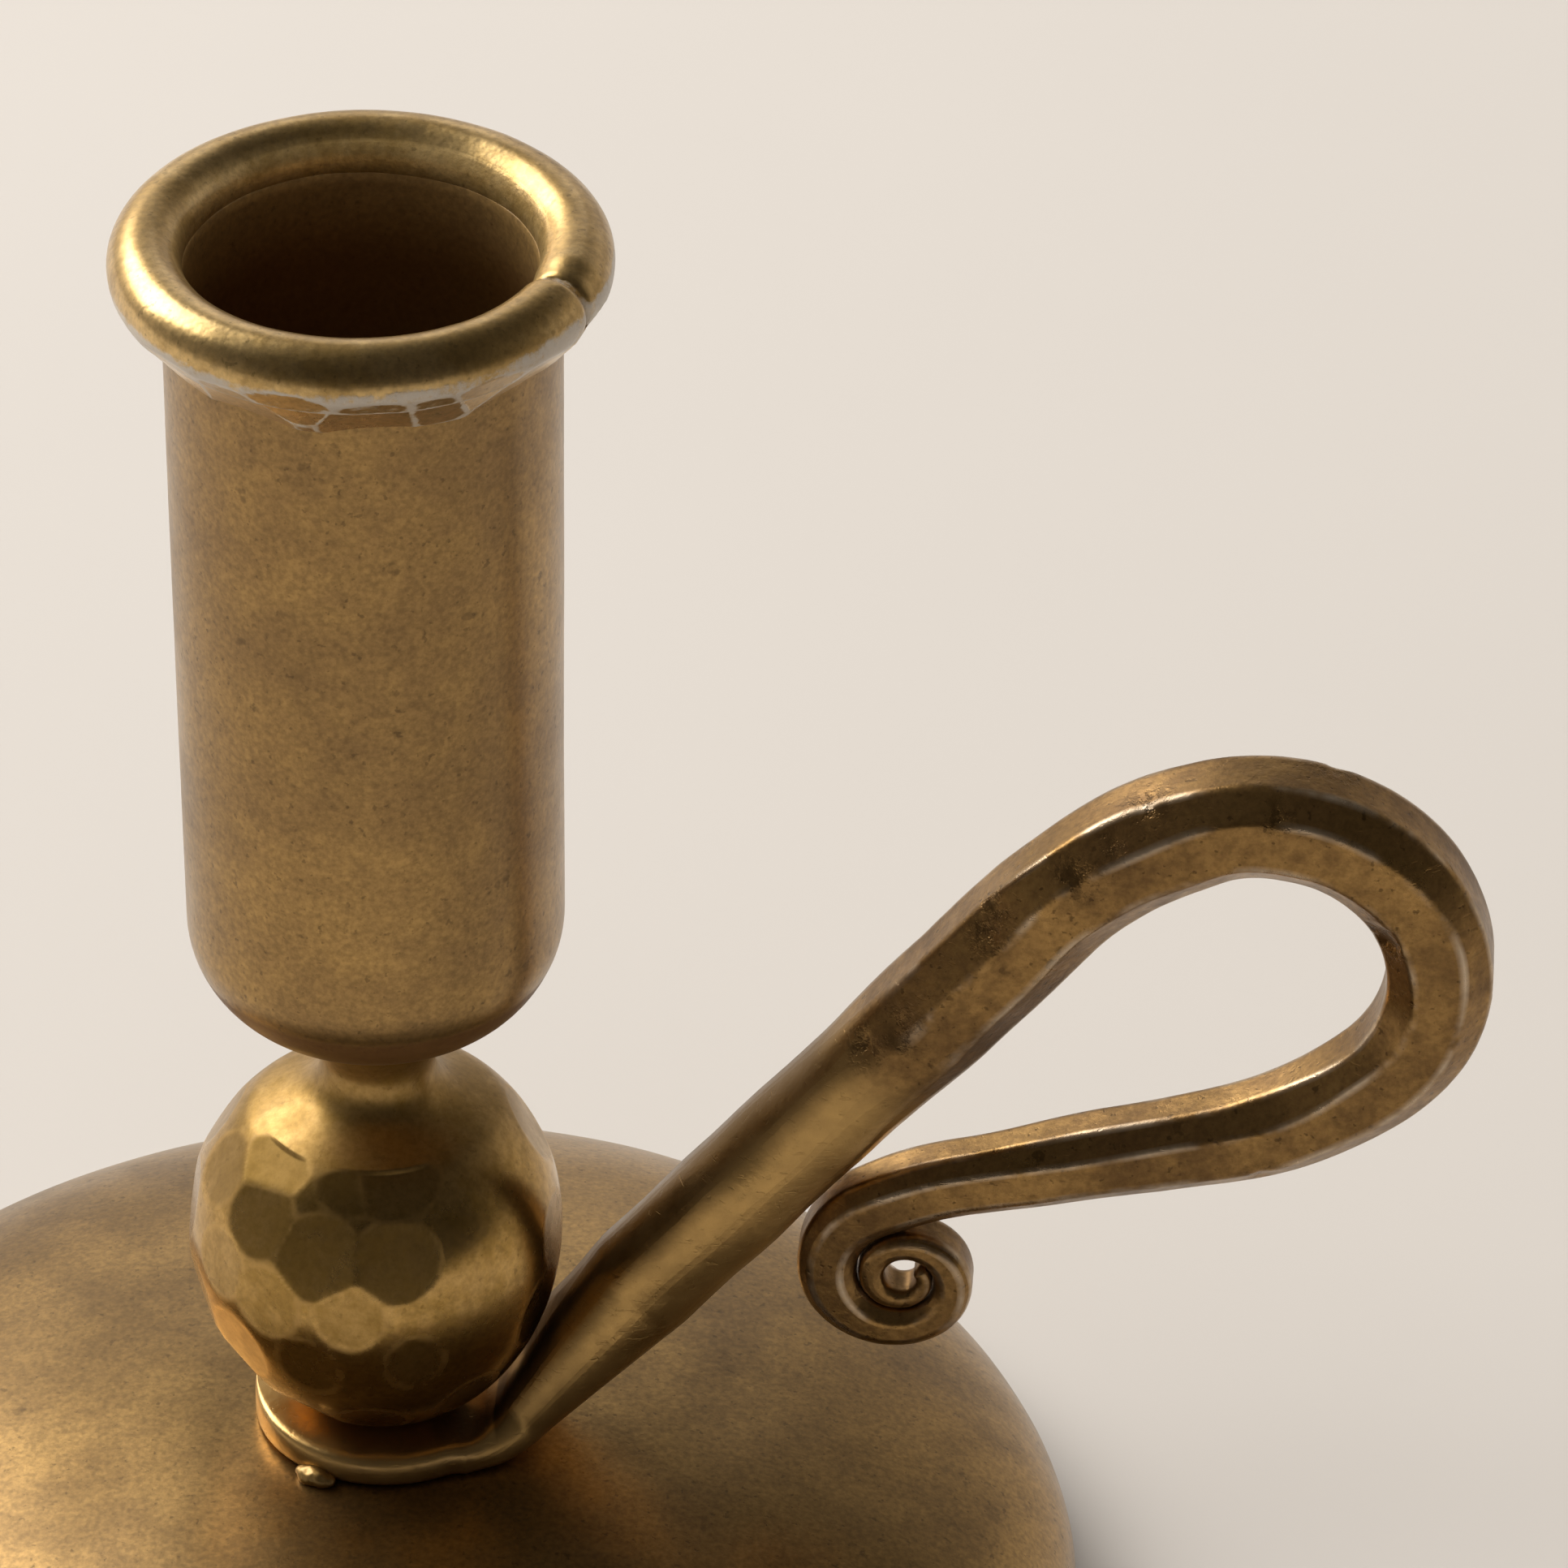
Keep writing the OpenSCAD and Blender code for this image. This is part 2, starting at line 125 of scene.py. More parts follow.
class CandlestickColours(bpy.types.PropertyGroup):
    """Colours of the candlestick's metals and felt"""
    cup_brass: tint("Cup brass", "Rubbed brass of the cup", (0.50, 0.305, 0.10))
    cup_patina: tint("Cup patina", "Dull patches on the cup", (0.32, 0.19, 0.068))
    ring_brass: tint("Ring brass", "Bright brass of the mouth ring", (0.69, 0.47, 0.19))
    ring_patina: tint("Ring patina", "Olive film on the mouth ring", (0.50, 0.32, 0.105))
    ball_brass: tint("Ball brass", "Polished brass of the ball", (0.59, 0.37, 0.125))
    ball_patina: tint("Ball patina", "Film on the ball", (0.40, 0.24, 0.06))
    handle_brass: tint("Handle brass", "Rubbed bronze of the handle", (0.40, 0.235, 0.08))
    handle_patina: tint("Handle patina", "Brown patina of the handle", (0.175, 0.095, 0.032))
    handle_gold: tint("Handle gold", "Polished foot of the handle", (0.56, 0.355, 0.125))
    dome_brass: tint("Dome brass", "Satin brass of the dome", (0.45, 0.27, 0.085))
    dome_patina: tint("Dome patina", "Dull patches on the dome", (0.25, 0.145, 0.045))
    braze: tint("Braze", "Clean braze between the ring and the cup", (0.80, 0.55, 0.24))
    residue: tint("Braze residue", "Grey residue that the braze left", (0.66, 0.60, 0.52))
    zinc: tint("Zinc", "Plated screws and washers", (0.55, 0.55, 0.53))
    felt: tint("Felt", "Felt under the base", (0.035, 0.028, 0.022))
    floor: tint("Floor", "Pale floor", (0.635, 0.592, 0.545))


def settings(context):
    return context.scene.candlestick_sizes, context.scene.candlestick_colours


# ---- Shaders ----
class Field:
    """A shader socket in an expression: each operator adds the Math node that it stands for."""

    def __init__(self, nodes, socket):
        self.nodes = nodes
        self.socket = socket

    def math(self, operation, first, second):
        sockets = {0: first, 1: second}
        return self.nodes.field("ShaderNodeMath", {"operation": operation}, sockets)

    def at_least(self, other):
        return self.math("MAXIMUM", self, other)

    def __add__(self, other):
        return self.math("ADD", self, other)

    __radd__ = __add__

    def __sub__(self, other):
        return self.math("SUBTRACT", self, other)

    def __rsub__(self, other):
        return self.math("SUBTRACT", other, self)

    def __mul__(self, other):
        return self.math("MULTIPLY", self, other)

    __rmul__ = __mul__


class Nodes:
    """Nodes under construction in one tree."""

    def __init__(self, tree):
        self.tree = tree

    def node(self, kind, settings=None, sockets=None):
        """Adds one node: its settings first, then the values or links of its sockets."""
        node = self.tree.nodes.new(kind)
        for key, value in (settings or {}).items():
            setattr(node, key, value)
        for key, value in (sockets or {}).items():
            self.feed(node.inputs[key], value)
        return node

    def feed(self, socket, value):
        if isinstance(value, Field):
            self.tree.links.new(value.socket, socket)
        elif socket.type == "RGBA" and len(value) == 3:
            socket.default_value = (*value, 1)
        else:
            socket.default_value = value

    def field(self, kind, settings=None, sockets=None, output=0):
        return Field(self, self.node(kind, settings, sockets).outputs[output])

    def step(self, value, low, high):
        """A soft step from 0 at low to 1 at high."""
        return self.field("ShaderNodeMapRange", {"interpolation_type": "SMOOTHSTEP"}, {
            "Value": value, "From Min": low, "From Max": high,
        })

    def mix(self, factor, first, second):
        sockets = {0: factor, 6: first, 7: second}
        return self.field("ShaderNodeMix", {"data_type": "RGBA"}, sockets, 2)


class Shader(Nodes):
    """A material under construction, read in object coordinates."""

    def __init__(self, name):
        self.material = bpy.data.materials.new(name)
        self.material.use_nodes = True
        super().__init__(self.material.node_tree)
        self.surface = self.tree.nodes["Principled BSDF"]
        self.place = self.field("ShaderNodeTexCoord", output="Object")

    def noise(self, scale, detail=3.0, roughness=0.55, stretch=None, distortion=0.0):
        """Noise whose cells are 1/scale metres, stretched by a factor along each axis."""
        place = self.place
        if stretch:
            place = self.field("ShaderNodeMapping", None, {"Vector": place, "Scale": stretch})
        return self.field("ShaderNodeTexNoise", None, {
            "Vector": place, "Scale": scale, "Detail": detail,
            "Roughness": roughness, "Distortion": distortion,
        })

    def attribute(self, name):
        return self.field("ShaderNodeAttribute", {"attribute_name": name}, output="Fac")

    def bump(self, height, distance):
        sockets = {"Height": height, "Distance": distance, "Strength": 1.0}
        return self.field("ShaderNodeBump", None, sockets)

    def finish(self, **sockets):
        """Feeds the surface's sockets and returns the material."""
        for key, value in sockets.items():
            self.feed(self.surface.inputs[key.replace("_", " ")], value)
        return self.material


def shaded(colour, share):
    return tuple(min(1, share * part) for part in colour)


def brass_shader(name, clean, patina, cloud_scale=70, film=(0.42, 0.60), specks=0.5, stretch=None):
    """The layers that all the brass shares: clouds of patina, mottling, and dark specks."""
    shader = Shader(name)
    clouds = shader.noise(cloud_scale, 4, stretch=stretch)
    mottling = shader.noise(cloud_scale * 6, 5, 0.65)
    film_mask = shader.step(clouds * 0.6 + mottling * 0.4, *film)
    colour = shader.mix(film_mask, patina, clean)
    flecks = shader.step(shader.noise(2100, 3, 0.65), 0.30, 0.66)
    colour = shader.mix(flecks, shader.mix(0.30, colour, shaded(patina, 0.25)), colour)
    speck_mask = shader.step(shader.noise(1700, 2), 0.64, 0.72) * specks
    pit_mask = shader.step(shader.noise(420, 3, 0.7), 0.66, 0.72) * specks
    colour = shader.mix(speck_mask, colour, shaded(patina, 0.35))
    colour = shader.mix(pit_mask, colour, shaded(patina, 0.5))
    return shader, colour, film_mask, speck_mask + pit_mask


def satin_brass(name, clean, patina, roughness, **layers):
    """Satin brass with a fine orange-peel grain."""
    shader, colour, film, specks = brass_shader(name, clean, patina, **layers)
    peel = shader.noise(2600, 2, 0.5)
    swell = shader.noise(330, 3, 0.5)
    tone = shader.step(peel, 0.3, 0.72)
    colour = shader.mix(tone, shader.mix(0.22, colour, (0, 0, 0)), colour)
    height = peel * 0.6 + swell * 1.2 - specks * 0.3
    rough = roughness + (1 - film) * 0.08 + (swell - 0.5) * 0.12 + specks * 0.1
    bore, deep_shade = shader.attribute("bore"), shader.attribute("deep_shade")
    # Painted shade: the colour darkens to dark brown deeper down a bore, where the inside of the
    # cup lies in shade.
    colour = shader.mix(deep_shade * 0.75, colour, (0.15, 0.055, 0.010))
    return shader.finish(
        Base_Color=colour,
        Metallic=0.97 - (1 - film) * 0.06 - bore * 0.65 + deep_shade * 0.35,
        Roughness=rough + bore * 0.2,
        Normal=shader.bump(height, 0.016 * MM), Coat_Weight=0.25, Coat_Roughness=0.28,
    )


def hammered_brass(name, clean, patina, roughness):
    """Polished brass between hammer marks: paler, rougher lines where the marks meet."""
    shader, colour, film, specks = brass_shader(name, clean, patina, cloud_scale=110, specks=0.35)
    border = shader.attribute("border") * shader.step(shader.noise(500, 3), 0.3, 0.6)
    mark, tone = shader.attribute("mark"), shader.attribute("tone")
    colour = shader.mix(mark * 0.25 + tone * 0.25, colour, shaded(patina, 0.75))
    colour = shader.mix(border * 0.6, colour, clean)
    satin = shader.attribute("satin")
    colour = shader.mix(satin * 0.4, colour, shaded(patina, 0.5))
    fine = shader.noise(2200, 2)
    swell = shader.noise(240, 3)
    rough = roughness + (1 - film) * 0.06 + (swell - 0.5) * 0.08
    rough += border * 0.14 + tone * 0.08 + specks * 0.12
    height = fine * 0.25 + swell * 1.4 - specks * 0.2
    return shader.finish(
        Base_Color=colour, Metallic=1.0, Roughness=rough + satin * 0.2,
        Normal=shader.bump(height, 0.014 * MM), Coat_Weight=0.15, Coat_Roughness=0.2,
    )


def brazed_brass(name, clean, patina, residue, roughness):
    """Bright brass with the grey residue of the braze where its attribute says so."""
    shader, colour, film, specks = brass_shader(name, clean, patina, cloud_scale=120)
    crust = shader.noise(1400, 4, 0.7)
    patches = shader.noise(260, 4, 0.6)
    amount = shader.attribute("residue")
    mask = shader.step(amount + (patches - 0.5) * 0.9 + (crust - 0.5) * 0.9, 0.42, 0.80)
    colour = shader.mix(mask * 0.85, colour, residue)
    cast = shader.attribute("cast")
    swell = shader.noise(300, 3)
    rough = roughness + (1 - film) * 0.06 + mask * 0.22 + specks * 0.1
    height = swell * 2.2 + crust * mask * 1.6 + shader.noise(2400, 2) * 0.4
    height += cast * (patches * 3 + crust * 2)
    return shader.finish(
        Base_Color=colour, Metallic=1 - mask * 0.7 - cast * 0.5, Roughness=rough,
        Normal=shader.bump(height, 0.026 * MM), Coat_Weight=0.45, Coat_Roughness=0.22,
    )


def forged_bronze(name, clean, patina, gold, roughness):
    """Brown forge patina, rubbed bright along the edges, with pits and short scratches."""
    shader, colour, film, specks = brass_shader(
        name, clean, patina, cloud_scale=130, film=(0.34, 0.70), specks=0.6
    )
    polish, top_shade = shader.attribute("polish"), shader.attribute("top_shade")
    colour = shader.mix(polish * 0.8, colour, gold)
    # Painted shade: the upper side of the rounded bar, at the bend and the lower rise, is darkened
    # towards dark patina.
    colour = shader.mix(top_shade * 0.8, colour, shaded(patina, 0.55))
    rub = shader.attribute("wear") * shader.step(shader.noise(190, 4, 0.6), 0.40, 0.66)
    bruise = shader.attribute("dent") * shader.step(shader.noise(750, 4, 0.7), 0.46, 0.60)
    colour = shader.mix(rub * 0.75, colour, (0.68, 0.55, 0.40))
    colour = shader.mix(bruise * 0.65, colour, shaded(patina, 0.25))
    scratch = shader.step(shader.noise(600, 3, 0.6, stretch=(1, 1, 5)), 0.62, 0.70)
    peel = shader.noise(1900, 3, 0.6)
    height = peel * 0.8 + shader.noise(420, 4, 0.6) * 1.3
    height -= scratch * 0.35 + specks * 0.5 + bruise * 2.2
    rough = roughness + (1 - film) * 0.12 - rub * 0.06 + (peel - 0.5) * 0.1
    return shader.finish(
        Base_Color=colour, Metallic=0.97 - (1 - film) * 0.14, Roughness=rough,
        Normal=shader.bump(height, 0.024 * MM),
    )


def plated_steel(name, zinc):
    """Dull zinc plating with a brushed tone."""
    shader = Shader(name)
    brushed = shader.noise(900, 3, 0.6, stretch=(1, 1, 6))
    colour = shader.mix(shader.noise(150, 3), shaded(zinc, 0.6), zinc)
    return shader.finish(
        Base_Color=colour, Metallic=1.0, Roughness=0.32 + brushed * 0.2,
        Normal=shader.bump(brushed, 0.01 * MM),
    )


def pressed_felt(name, colour):
    """Dark felt with fibres and lint."""
    shader = Shader(name)
    fibres = shader.noise(2600, 5, 0.75, stretch=(1, 1, 3), distortion=1.2)
    lint = shader.step(shader.noise(900, 4), 0.62, 0.74)
    shade = shader.mix(fibres, shaded(colour, 0.5), shaded(colour, 1.9))
    shade = shader.mix(lint * 0.35, shade, shaded(colour, 3.2))
    return shader.finish(
        Base_Color=shade, Roughness=0.95, Sheen_Weight=0.35,
        Normal=shader.bump(fibres, 0.12 * MM),
    )


# ---- Mesh helpers ----
def spaced(outline, gap):
    """The same outline with no two neighbouring points further apart than the gap."""
    points = [Vector(outline[0])]
    for start, end in zip(outline, outline[1:]):
        start, end = Vector(start), Vector(end)
        count = max(1, math.ceil((end - start).length / gap))
        points += [start.lerp(end, i / count) for i in range(1, count + 1)]
    return points


def arc(centre, radius, start, end, count):
    """Points of an arc in the outline's plane, between two angles in degrees."""
    angles = [math.radians(start + (end - start) * i / count) for i in range(count + 1)]
    return [(centre[0] + radius * math.cos(a), centre[1] + radius * math.sin(a)) for a in angles]


def spun(outline, steps, closed):
    """A shape turned round the Z axis from an outline of radius and height."""
    bm = bmesh.new()
    verts = [bm.verts.new((point[0], 0, point[1])) for point in outline]
    edges = [bm.edges.new(pair) for pair in zip(verts, verts[1:])]
    if closed:
        edges.append(bm.edges.new((verts[-1], verts[0])))
    bmesh.ops.spin(
        bm, geom=verts + edges, cent=(0, 0, 0), axis=(0, 0, 1),
        angle=math.tau, steps=steps, use_merge=True,
    )
    bmesh.ops.remove_doubles(bm, verts=bm.verts, dist=0.001 * MM)
    bmesh.ops.recalc_face_normals(bm, faces=bm.faces)
    return bm


def added(name, data):
    made = bpy.data.objects.new(name, data)
    bpy.context.collection.objects.link(made)
    return made


def meshed(name, bm, material):
    """The object of a finished mesh."""
    bm.normal_update()
    for face in bm.faces:
        face.smooth = True
    mesh = bpy.data.meshes.new(name)
    bm.to_mesh(mesh)
    bm.free()
    mesh.materials.append(material)
    return added(name, mesh)


def piece(name, bm, material, slot, *nodes):
    """Adds a finished piece, rides it on the body and lets it stand for its CAD nodes."""
    made = meshed(name, bm, material)
    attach(made, "root")
    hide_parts(*nodes)


def layer(bm, name):
    return bm.verts.layers.float.new(name)


def smooth(value, low, high):
    share = min(1, max(0, (value - low) / (high - low)))
    return share * share * (3 - 2 * share)


def wobble(point, cell, seed):
    """Smooth noise of -1 to 1 with cells of the given size."""
    return noise.noise(point / cell + Vector((seed, 0.37 * seed, -seed)))


def ripple(bm, seed, *waves, keep=lambda point: 1):
    """Moves each vertex along its normal by a few waves, each a cell size and a height."""
    bm.normal_update()
    moves = []
    for vert in bm.verts:
        lift = sum(
            height * wobble(vert.co, cell, seed + i) for i, (cell, height) in enumerate(waves)
        )
        moves.append(vert.normal * lift * keep(vert.co))
    for vert, move in zip(bm.verts, moves):
        vert.co += move


# ---- Base ----
def dome_outline(radius, height, foot_z, power=2.3, count=90):
    """A superellipse whose crown is pressed flat out to the seat's radius."""
    full = height / (1 - (DOME_SEAT_R / radius) ** power) ** (1 / power)
    angles = [math.radians(90 * i / count) for i in range(1, count + 1)]
    curve = [
        (radius * math.sin(a) ** (2 / power), foot_z + full * max(0, math.cos(a)) ** (2 / power))
        for a in angles
    ]
    flank = [point for point in curve if point[0] > 1.01 * DOME_SEAT_R]
    return [(DOME_SEAT_R, foot_z + height)] + flank


class CANDLESTICK_OT_dome(bpy.types.Operator):
    """Spins the domed base with its rolled lip and flange"""
    bl_idname = "candlestick.dome"
    bl_label = "Dome"

    def execute(self, context):
        sizes, colours = settings(context)
        wall, lip = sizes.dome_wall, sizes.dome_lip
        widest_z = DOME_LOW.z + lip
        height = SEAT_Z - widest_z
        flange_r = DOME_R - lip - sizes.dome_flange
        hole = sizes.screw_hole
        outer = dome_outline(DOME_R, height, widest_z)
        inner = dome_outline(DOME_R - wall, height - wall, widest_z)
        outline = [(hole, SEAT_Z)] + outer
        outline += arc((DOME_R - lip, widest_z), lip, -10, -90, 10)
        outline += [(flange_r, DOME_LOW.z), (flange_r, DOME_LOW.z + wall)]
        outline += arc((DOME_R - lip, widest_z), lip - wall, -90, -10, 6)
        outline += inner[::-1] + [(hole, SEAT_Z - wall)]
        bm = spun(spaced(outline, 0.75 * MM), 260, closed=True)

        def free(point):
            """The seat and the flange stay flat, and the lip stays within its size."""
            reach = math.hypot(point.x, point.y)
            off_seat = smooth(reach, DOME_SEAT_R, 14 * MM)
            return off_seat * smooth(point.z, DOME_LOW.z + 0.3 * MM, 8 * MM)

        ripple(bm, 3.1, (17 * MM, 0.16 * MM), (7 * MM, 0.045 * MM), keep=free)
        limit_radius(bm, DOME_R)
        material = satin_brass(
            "dome_satin", colours.dome_brass, colours.dome_patina, 0.30,
            cloud_scale=32, film=(0.38, 0.62),
        )
        piece("dome_shell", bm, material, "dome_brass", "base_dome")
        return {"FINISHED"}


def limit_radius(bm, radius):
    for vert in bm.verts:
        reach = math.hypot(vert.co.x, vert.co.y)
        if reach > radius:
            vert.co.x *= radius / reach
            vert.co.y *= radius / reach


class CANDLESTICK_OT_felt(bpy.types.Operator):
    """Spins the felt pad under the base"""
    bl_idname = "candlestick.felt"
    bl_label = "Felt pad"

    def execute(self, context):
        edge = 0.35 * MM
        radius, top = FELT_HIGH.x, FELT_HIGH.z
        outline = [(0, 0)] + arc((radius - edge, edge), edge, -90, 0, 4)
        outline += arc((radius - edge, top - edge), edge, 0, 90, 4) + [(0, top)]
        bm = spun(spaced(outline, 1.5 * MM), 160, closed=False)
        material = pressed_felt("felt_pad", settings(context)[1].felt)
        piece("felt_pad", bm, material, "felt", "felt_disc")
        return {"FINISHED"}


# ---- Ball ----
SHOULDER_LATITUDE = 46
# How far the ball stands off the axis, and how far from its middle that fades out
BALL_LEAN = 0.5 * MM
LEAN_FADE = 14 * MM
# How high above the ball's middle the hammer marks reach
MARKS_TOP = 9.6 * MM
# The plainest hammer marks: place across and up the ball in its radii, and half-width in degrees
SEEN_MARKS = (
    (-0.50, 0.34, 13.5), (-0.585, 0.02, 13.0), (-0.10, 0.22, 11.0), (0.12, 0.27, 15.0),
    (-0.27, -0.19, 14.5), (0.15, -0.20, 14.0), (-0.10, -0.50, 11.5), (-0.80, -0.22, 11.5),
    (-0.55, -0.42, 12.0), (-0.33, -0.74, 10.5), (0.24, -0.72, 9.5), (-0.80, 0.28, 12.0),
)


def ball_marks():
    """Each mark as its direction from the ball's middle and the cosine of its half-width."""
    marks = []
    for across, up, width in SEEN_MARKS:
        depth = math.sqrt(1 - across * across - up * up)
        marks.append((RIGHT * across + UP * up + BACK * depth, math.cos(math.radians(width))))
    dice = random.Random(11)
    tries = 0
    while len(marks) < 58 and tries < 4000:
        tries += 1
        turn, height = dice.uniform(0, math.tau), dice.uniform(-0.86, 0.55)
        flat = math.sqrt(1 - height * height)
        way = Vector((flat * math.cos(turn), flat * math.sin(turn), height))
        seen = way.dot(BACK)
        smooth_side = way.dot(RIGHT) > 0.25 and seen > 0.3
        if smooth_side or any(way.dot(other) > 0.93 for other, _ in marks):
            continue
        marks.append((way.normalized(), math.cos(math.radians(dice.uniform(10, 14)))))
    return marks


class CANDLESTICK_OT_ball(bpy.types.Operator):
    """Spins the ball with its neck and hammers flat marks on it"""
    bl_idname = "candlestick.ball"
    bl_label = "Hammered ball"

    def execute(self, context):
        sizes, colours = settings(context)
        middle = BALL_LOW.z + BALL_FOOT_H
        stretch = BALL_FOOT_H / math.sqrt(1 - (sizes.ball_foot / BALL_R) ** 2) / BALL_R
        bm = spun(spaced(self.outline(sizes, middle, stretch), 0.26 * MM), 288, closed=False)
        self.press_marks(bm, Vector((0, 0, middle)), stretch)
        satin = layer(bm, "satin")
        for vert in bm.verts:
            vert[satin] = smooth(vert.co.z, middle + 6.5 * MM, middle + 9.5 * MM)
            rise = (vert.co.z - middle) / LEAN_FADE
            vert.co -= RIGHT * BALL_LEAN * max(0, 1 - rise * rise)
        ripple(bm, 7.7, (6 * MM, 0.05 * MM),
               keep=lambda point: smooth(point.z, BALL_LOW.z, BALL_LOW.z + 2 * MM))
        material = hammered_brass("ball_polished", colours.ball_brass, colours.ball_patina, 0.21)
        piece("hammered_ball", bm, material, "ball_brass", "stem_ball")
        return {"FINISHED"}

    def outline(self, sizes, middle, stretch):
        """The foot, the ball, its drawn-down neck and the neck's collar under the cup."""
        low = math.degrees(math.asin(BALL_FOOT_H / (BALL_R * stretch)))
        ball = arc((0, middle), BALL_R, -low, 0, 44)
        lower = [(x, middle + (z - middle) * stretch) for x, z in ball]
        upper = arc((0, middle), BALL_R, 0, SHOULDER_LATITUDE, 30)[1:]
        latitude = math.radians(SHOULDER_LATITUDE)
        along = Vector((-math.sin(latitude), math.cos(latitude)))
        shoulder = Vector((BALL_R * math.cos(latitude), middle + BALL_R * math.sin(latitude)))
        waist, collar = sizes.neck_waist, sizes.neck_collar
        waist_z = shoulder.y + 1.2 * waist
        top = CUP_LOW.z + 0.25 * MM
        waist_point = Vector((waist, waist_z))
        curves = (
            (
                shoulder, shoulder + 0.35 * (shoulder.x - waist) * along,
                Vector((waist, blend(shoulder.y, waist_z, 0.35))), waist_point,
            ),
            (
                waist_point, Vector((waist, blend(waist_z, top, 0.3))),
                Vector((blend(waist, collar, 0.5), blend(waist_z, top, 0.6))),
                Vector((collar - 0.4 * MM, top)),
            ),
        )
        outline = [(0, BALL_LOW.z), (sizes.ball_foot - 0.1 * MM, BALL_LOW.z)] + lower + upper
        for curve in curves:
            outline += [cubic(curve, i / 20) for i in range(1, 21)]
        return outline + [(0, top)]

    def press_marks(self, bm, centre, stretch):
        """Flattens the ball under each mark and notes its face, its tone and its border."""
        border, mark, tone = (layer(bm, name) for name in ("border", "mark", "tone"))
        marks = ball_marks()
        for vert in bm.verts:
            rel = vert.co - centre
            if rel.z > MARKS_TOP or vert.co.z < BALL_LOW.z + 0.3 * MM:
                continue
            squeeze = stretch if rel.z < 0 else 1
            rel.z /= squeeze
            reach = rel.length
            way = rel / reach
            limits = sorted(
                (BALL_R * edge / way.dot(out), i)
                for i, (out, edge) in enumerate(marks) if way.dot(out) > 0.85
            )[:2]
            if limits:
                limit, first = limits[0]
                second = limits[-1][0] if len(limits) > 1 else reach
                if len(limits) > 1:
                    limit -= 0.018 * MM * (1 - smooth(second - limit, 0, 0.12 * MM))
                inset = min(reach, second) - limit if limit < reach else limit - reach
                if limit < reach:
                    vert[mark] = smooth(inset, 0.02 * MM, 0.10 * MM)
                    vert[tone] = vert[mark] * (0.5 + 0.5 * math.sin(5.1 * first + 1.3))
                    rel = way * (limit + 0.08 * (reach - limit))
                vert[border] = 1 - smooth(inset, 0.01 * MM, 0.07 * MM)
            rel.z *= squeeze
            vert.co = centre + rel


def cubic(p, t):
    """A point of the Bezier curve through four control points."""
    s = 1 - t
    return s ** 3 * p[0] + 3 * t * s ** 2 * p[1] + 3 * t * t * s * p[2] + t ** 3 * p[3]


# ---- Cup ----
class CANDLESTICK_OT_cup(bpy.types.Operator):
    """Spins the candle cup with its rounded foot and its bore"""
    bl_idname = "candlestick.cup"
    bl_label = "Candle cup"

    def execute(self, context):
        sizes, colours = settings(context)
        corner, wall, hole = sizes.cup_corner, sizes.cup_wall, sizes.screw_hole
        foot_r = CUP_R - sizes.cup_draft
        foot_z, mouth_z = CUP_LOW.z, RING_Z - 0.35 * MM
        bore_r = CUP_R - wall
        floor_z = foot_z + sizes.cup_floor
        bore_corner = corner - wall
        outline = [(hole, foot_z)]
        outline += arc((foot_r - corner, foot_z + corner), corner, -90, 0, 24)
        outline += [(CUP_R, mouth_z - 0.2 * MM), (CUP_R - 0.15 * MM, mouth_z)]
        outline += [(bore_r + 0.1 * MM, mouth_z), (bore_r, mouth_z - 0.15 * MM)]
        outline += arc((bore_r - bore_corner, floor_z + bore_corner), bore_corner, 0, -90, 16)
        outline += [(hole, floor_z)]
        bm = spun(spaced(outline, 0.8 * MM), 220, closed=True)
        mid_wall = bore_r + 0.5 * wall

        def outside(point):
            reach = math.hypot(point.x, point.y)
            at_mouth = 1 - smooth(point.z, mouth_z - 4 * MM, mouth_z)
            return at_mouth * smooth(point.z, foot_z, foot_z + 3 * MM) if reach > mid_wall else 0

        ripple(bm, 1.9, (14 * MM, 0.05 * MM), (5 * MM, 0.012 * MM), keep=outside)
        bore, deep_shade = layer(bm, "bore"), layer(bm, "deep_shade")
        for vert in bm.verts:
            if math.hypot(vert.co.x, vert.co.y) < mid_wall and vert.co.z > floor_z - 0.1 * MM:
                vert[bore] = 1
                # Painted shade inside the bore: full from 7 mm below the mouth downwards, none at
                # the mouth.
                vert[deep_shade] = 1 - smooth(vert.co.z, mouth_z - 7 * MM, mouth_z)
        limit_radius(bm, CUP_R)
        material = satin_brass(
            "cup_satin", colours.cup_brass, colours.cup_patina, 0.30,
            cloud_scale=60, film=(0.32, 0.70), stretch=(1, 1, 1.6),
        )
        piece("cup_shell", bm, material, "cup_brass", "candle_cup")
        return {"FINISHED"}


# ---- Mouth ring ----
RING_SEAM_TURN = math.radians(-20)
RING_STEPS = 340
# How much shallower the marks are on the ring than on the softer braze
RING_SPARED = 0.08 * MM
# Hammer marks on the ring's lower outside: turn round the ring in degrees and depth
RING_MARKS = (
    (-134, 0.30), (-118, 0.26), (-101, 0.34), (-80, 0.30), (-67, 0.24), (-52, 0.32), (-37, 0.26),
    (-12, 0.28), (8, 0.22), (27, 0.30), (49, 0.26), (71, 0.30), (92, 0.24), (114, 0.32),
    (136, 0.26), (158, 0.30), (178, 0.24), (-157, 0.28),
)


def ring_planes(ring_r, bar_r, raised):
    """The flats that the hammer left, each as a direction and a distance from the ring's middle."""
    middle = Vector((0, 0, RING_Z))
    planes = []
    for i, (turn, depth) in enumerate(RING_MARKS):
        turn = math.radians(turn)
        droop = math.radians(37 + 5 * math.sin(2.3 * i))
        spoke = Vector((math.cos(turn), math.sin(turn), 0))
        out = spoke * math.cos(droop) - Vector((0, 0, math.sin(droop)))
        planes.append((out, out.dot(middle + spoke * ring_r) + bar_r + raised - depth * MM))
    return planes


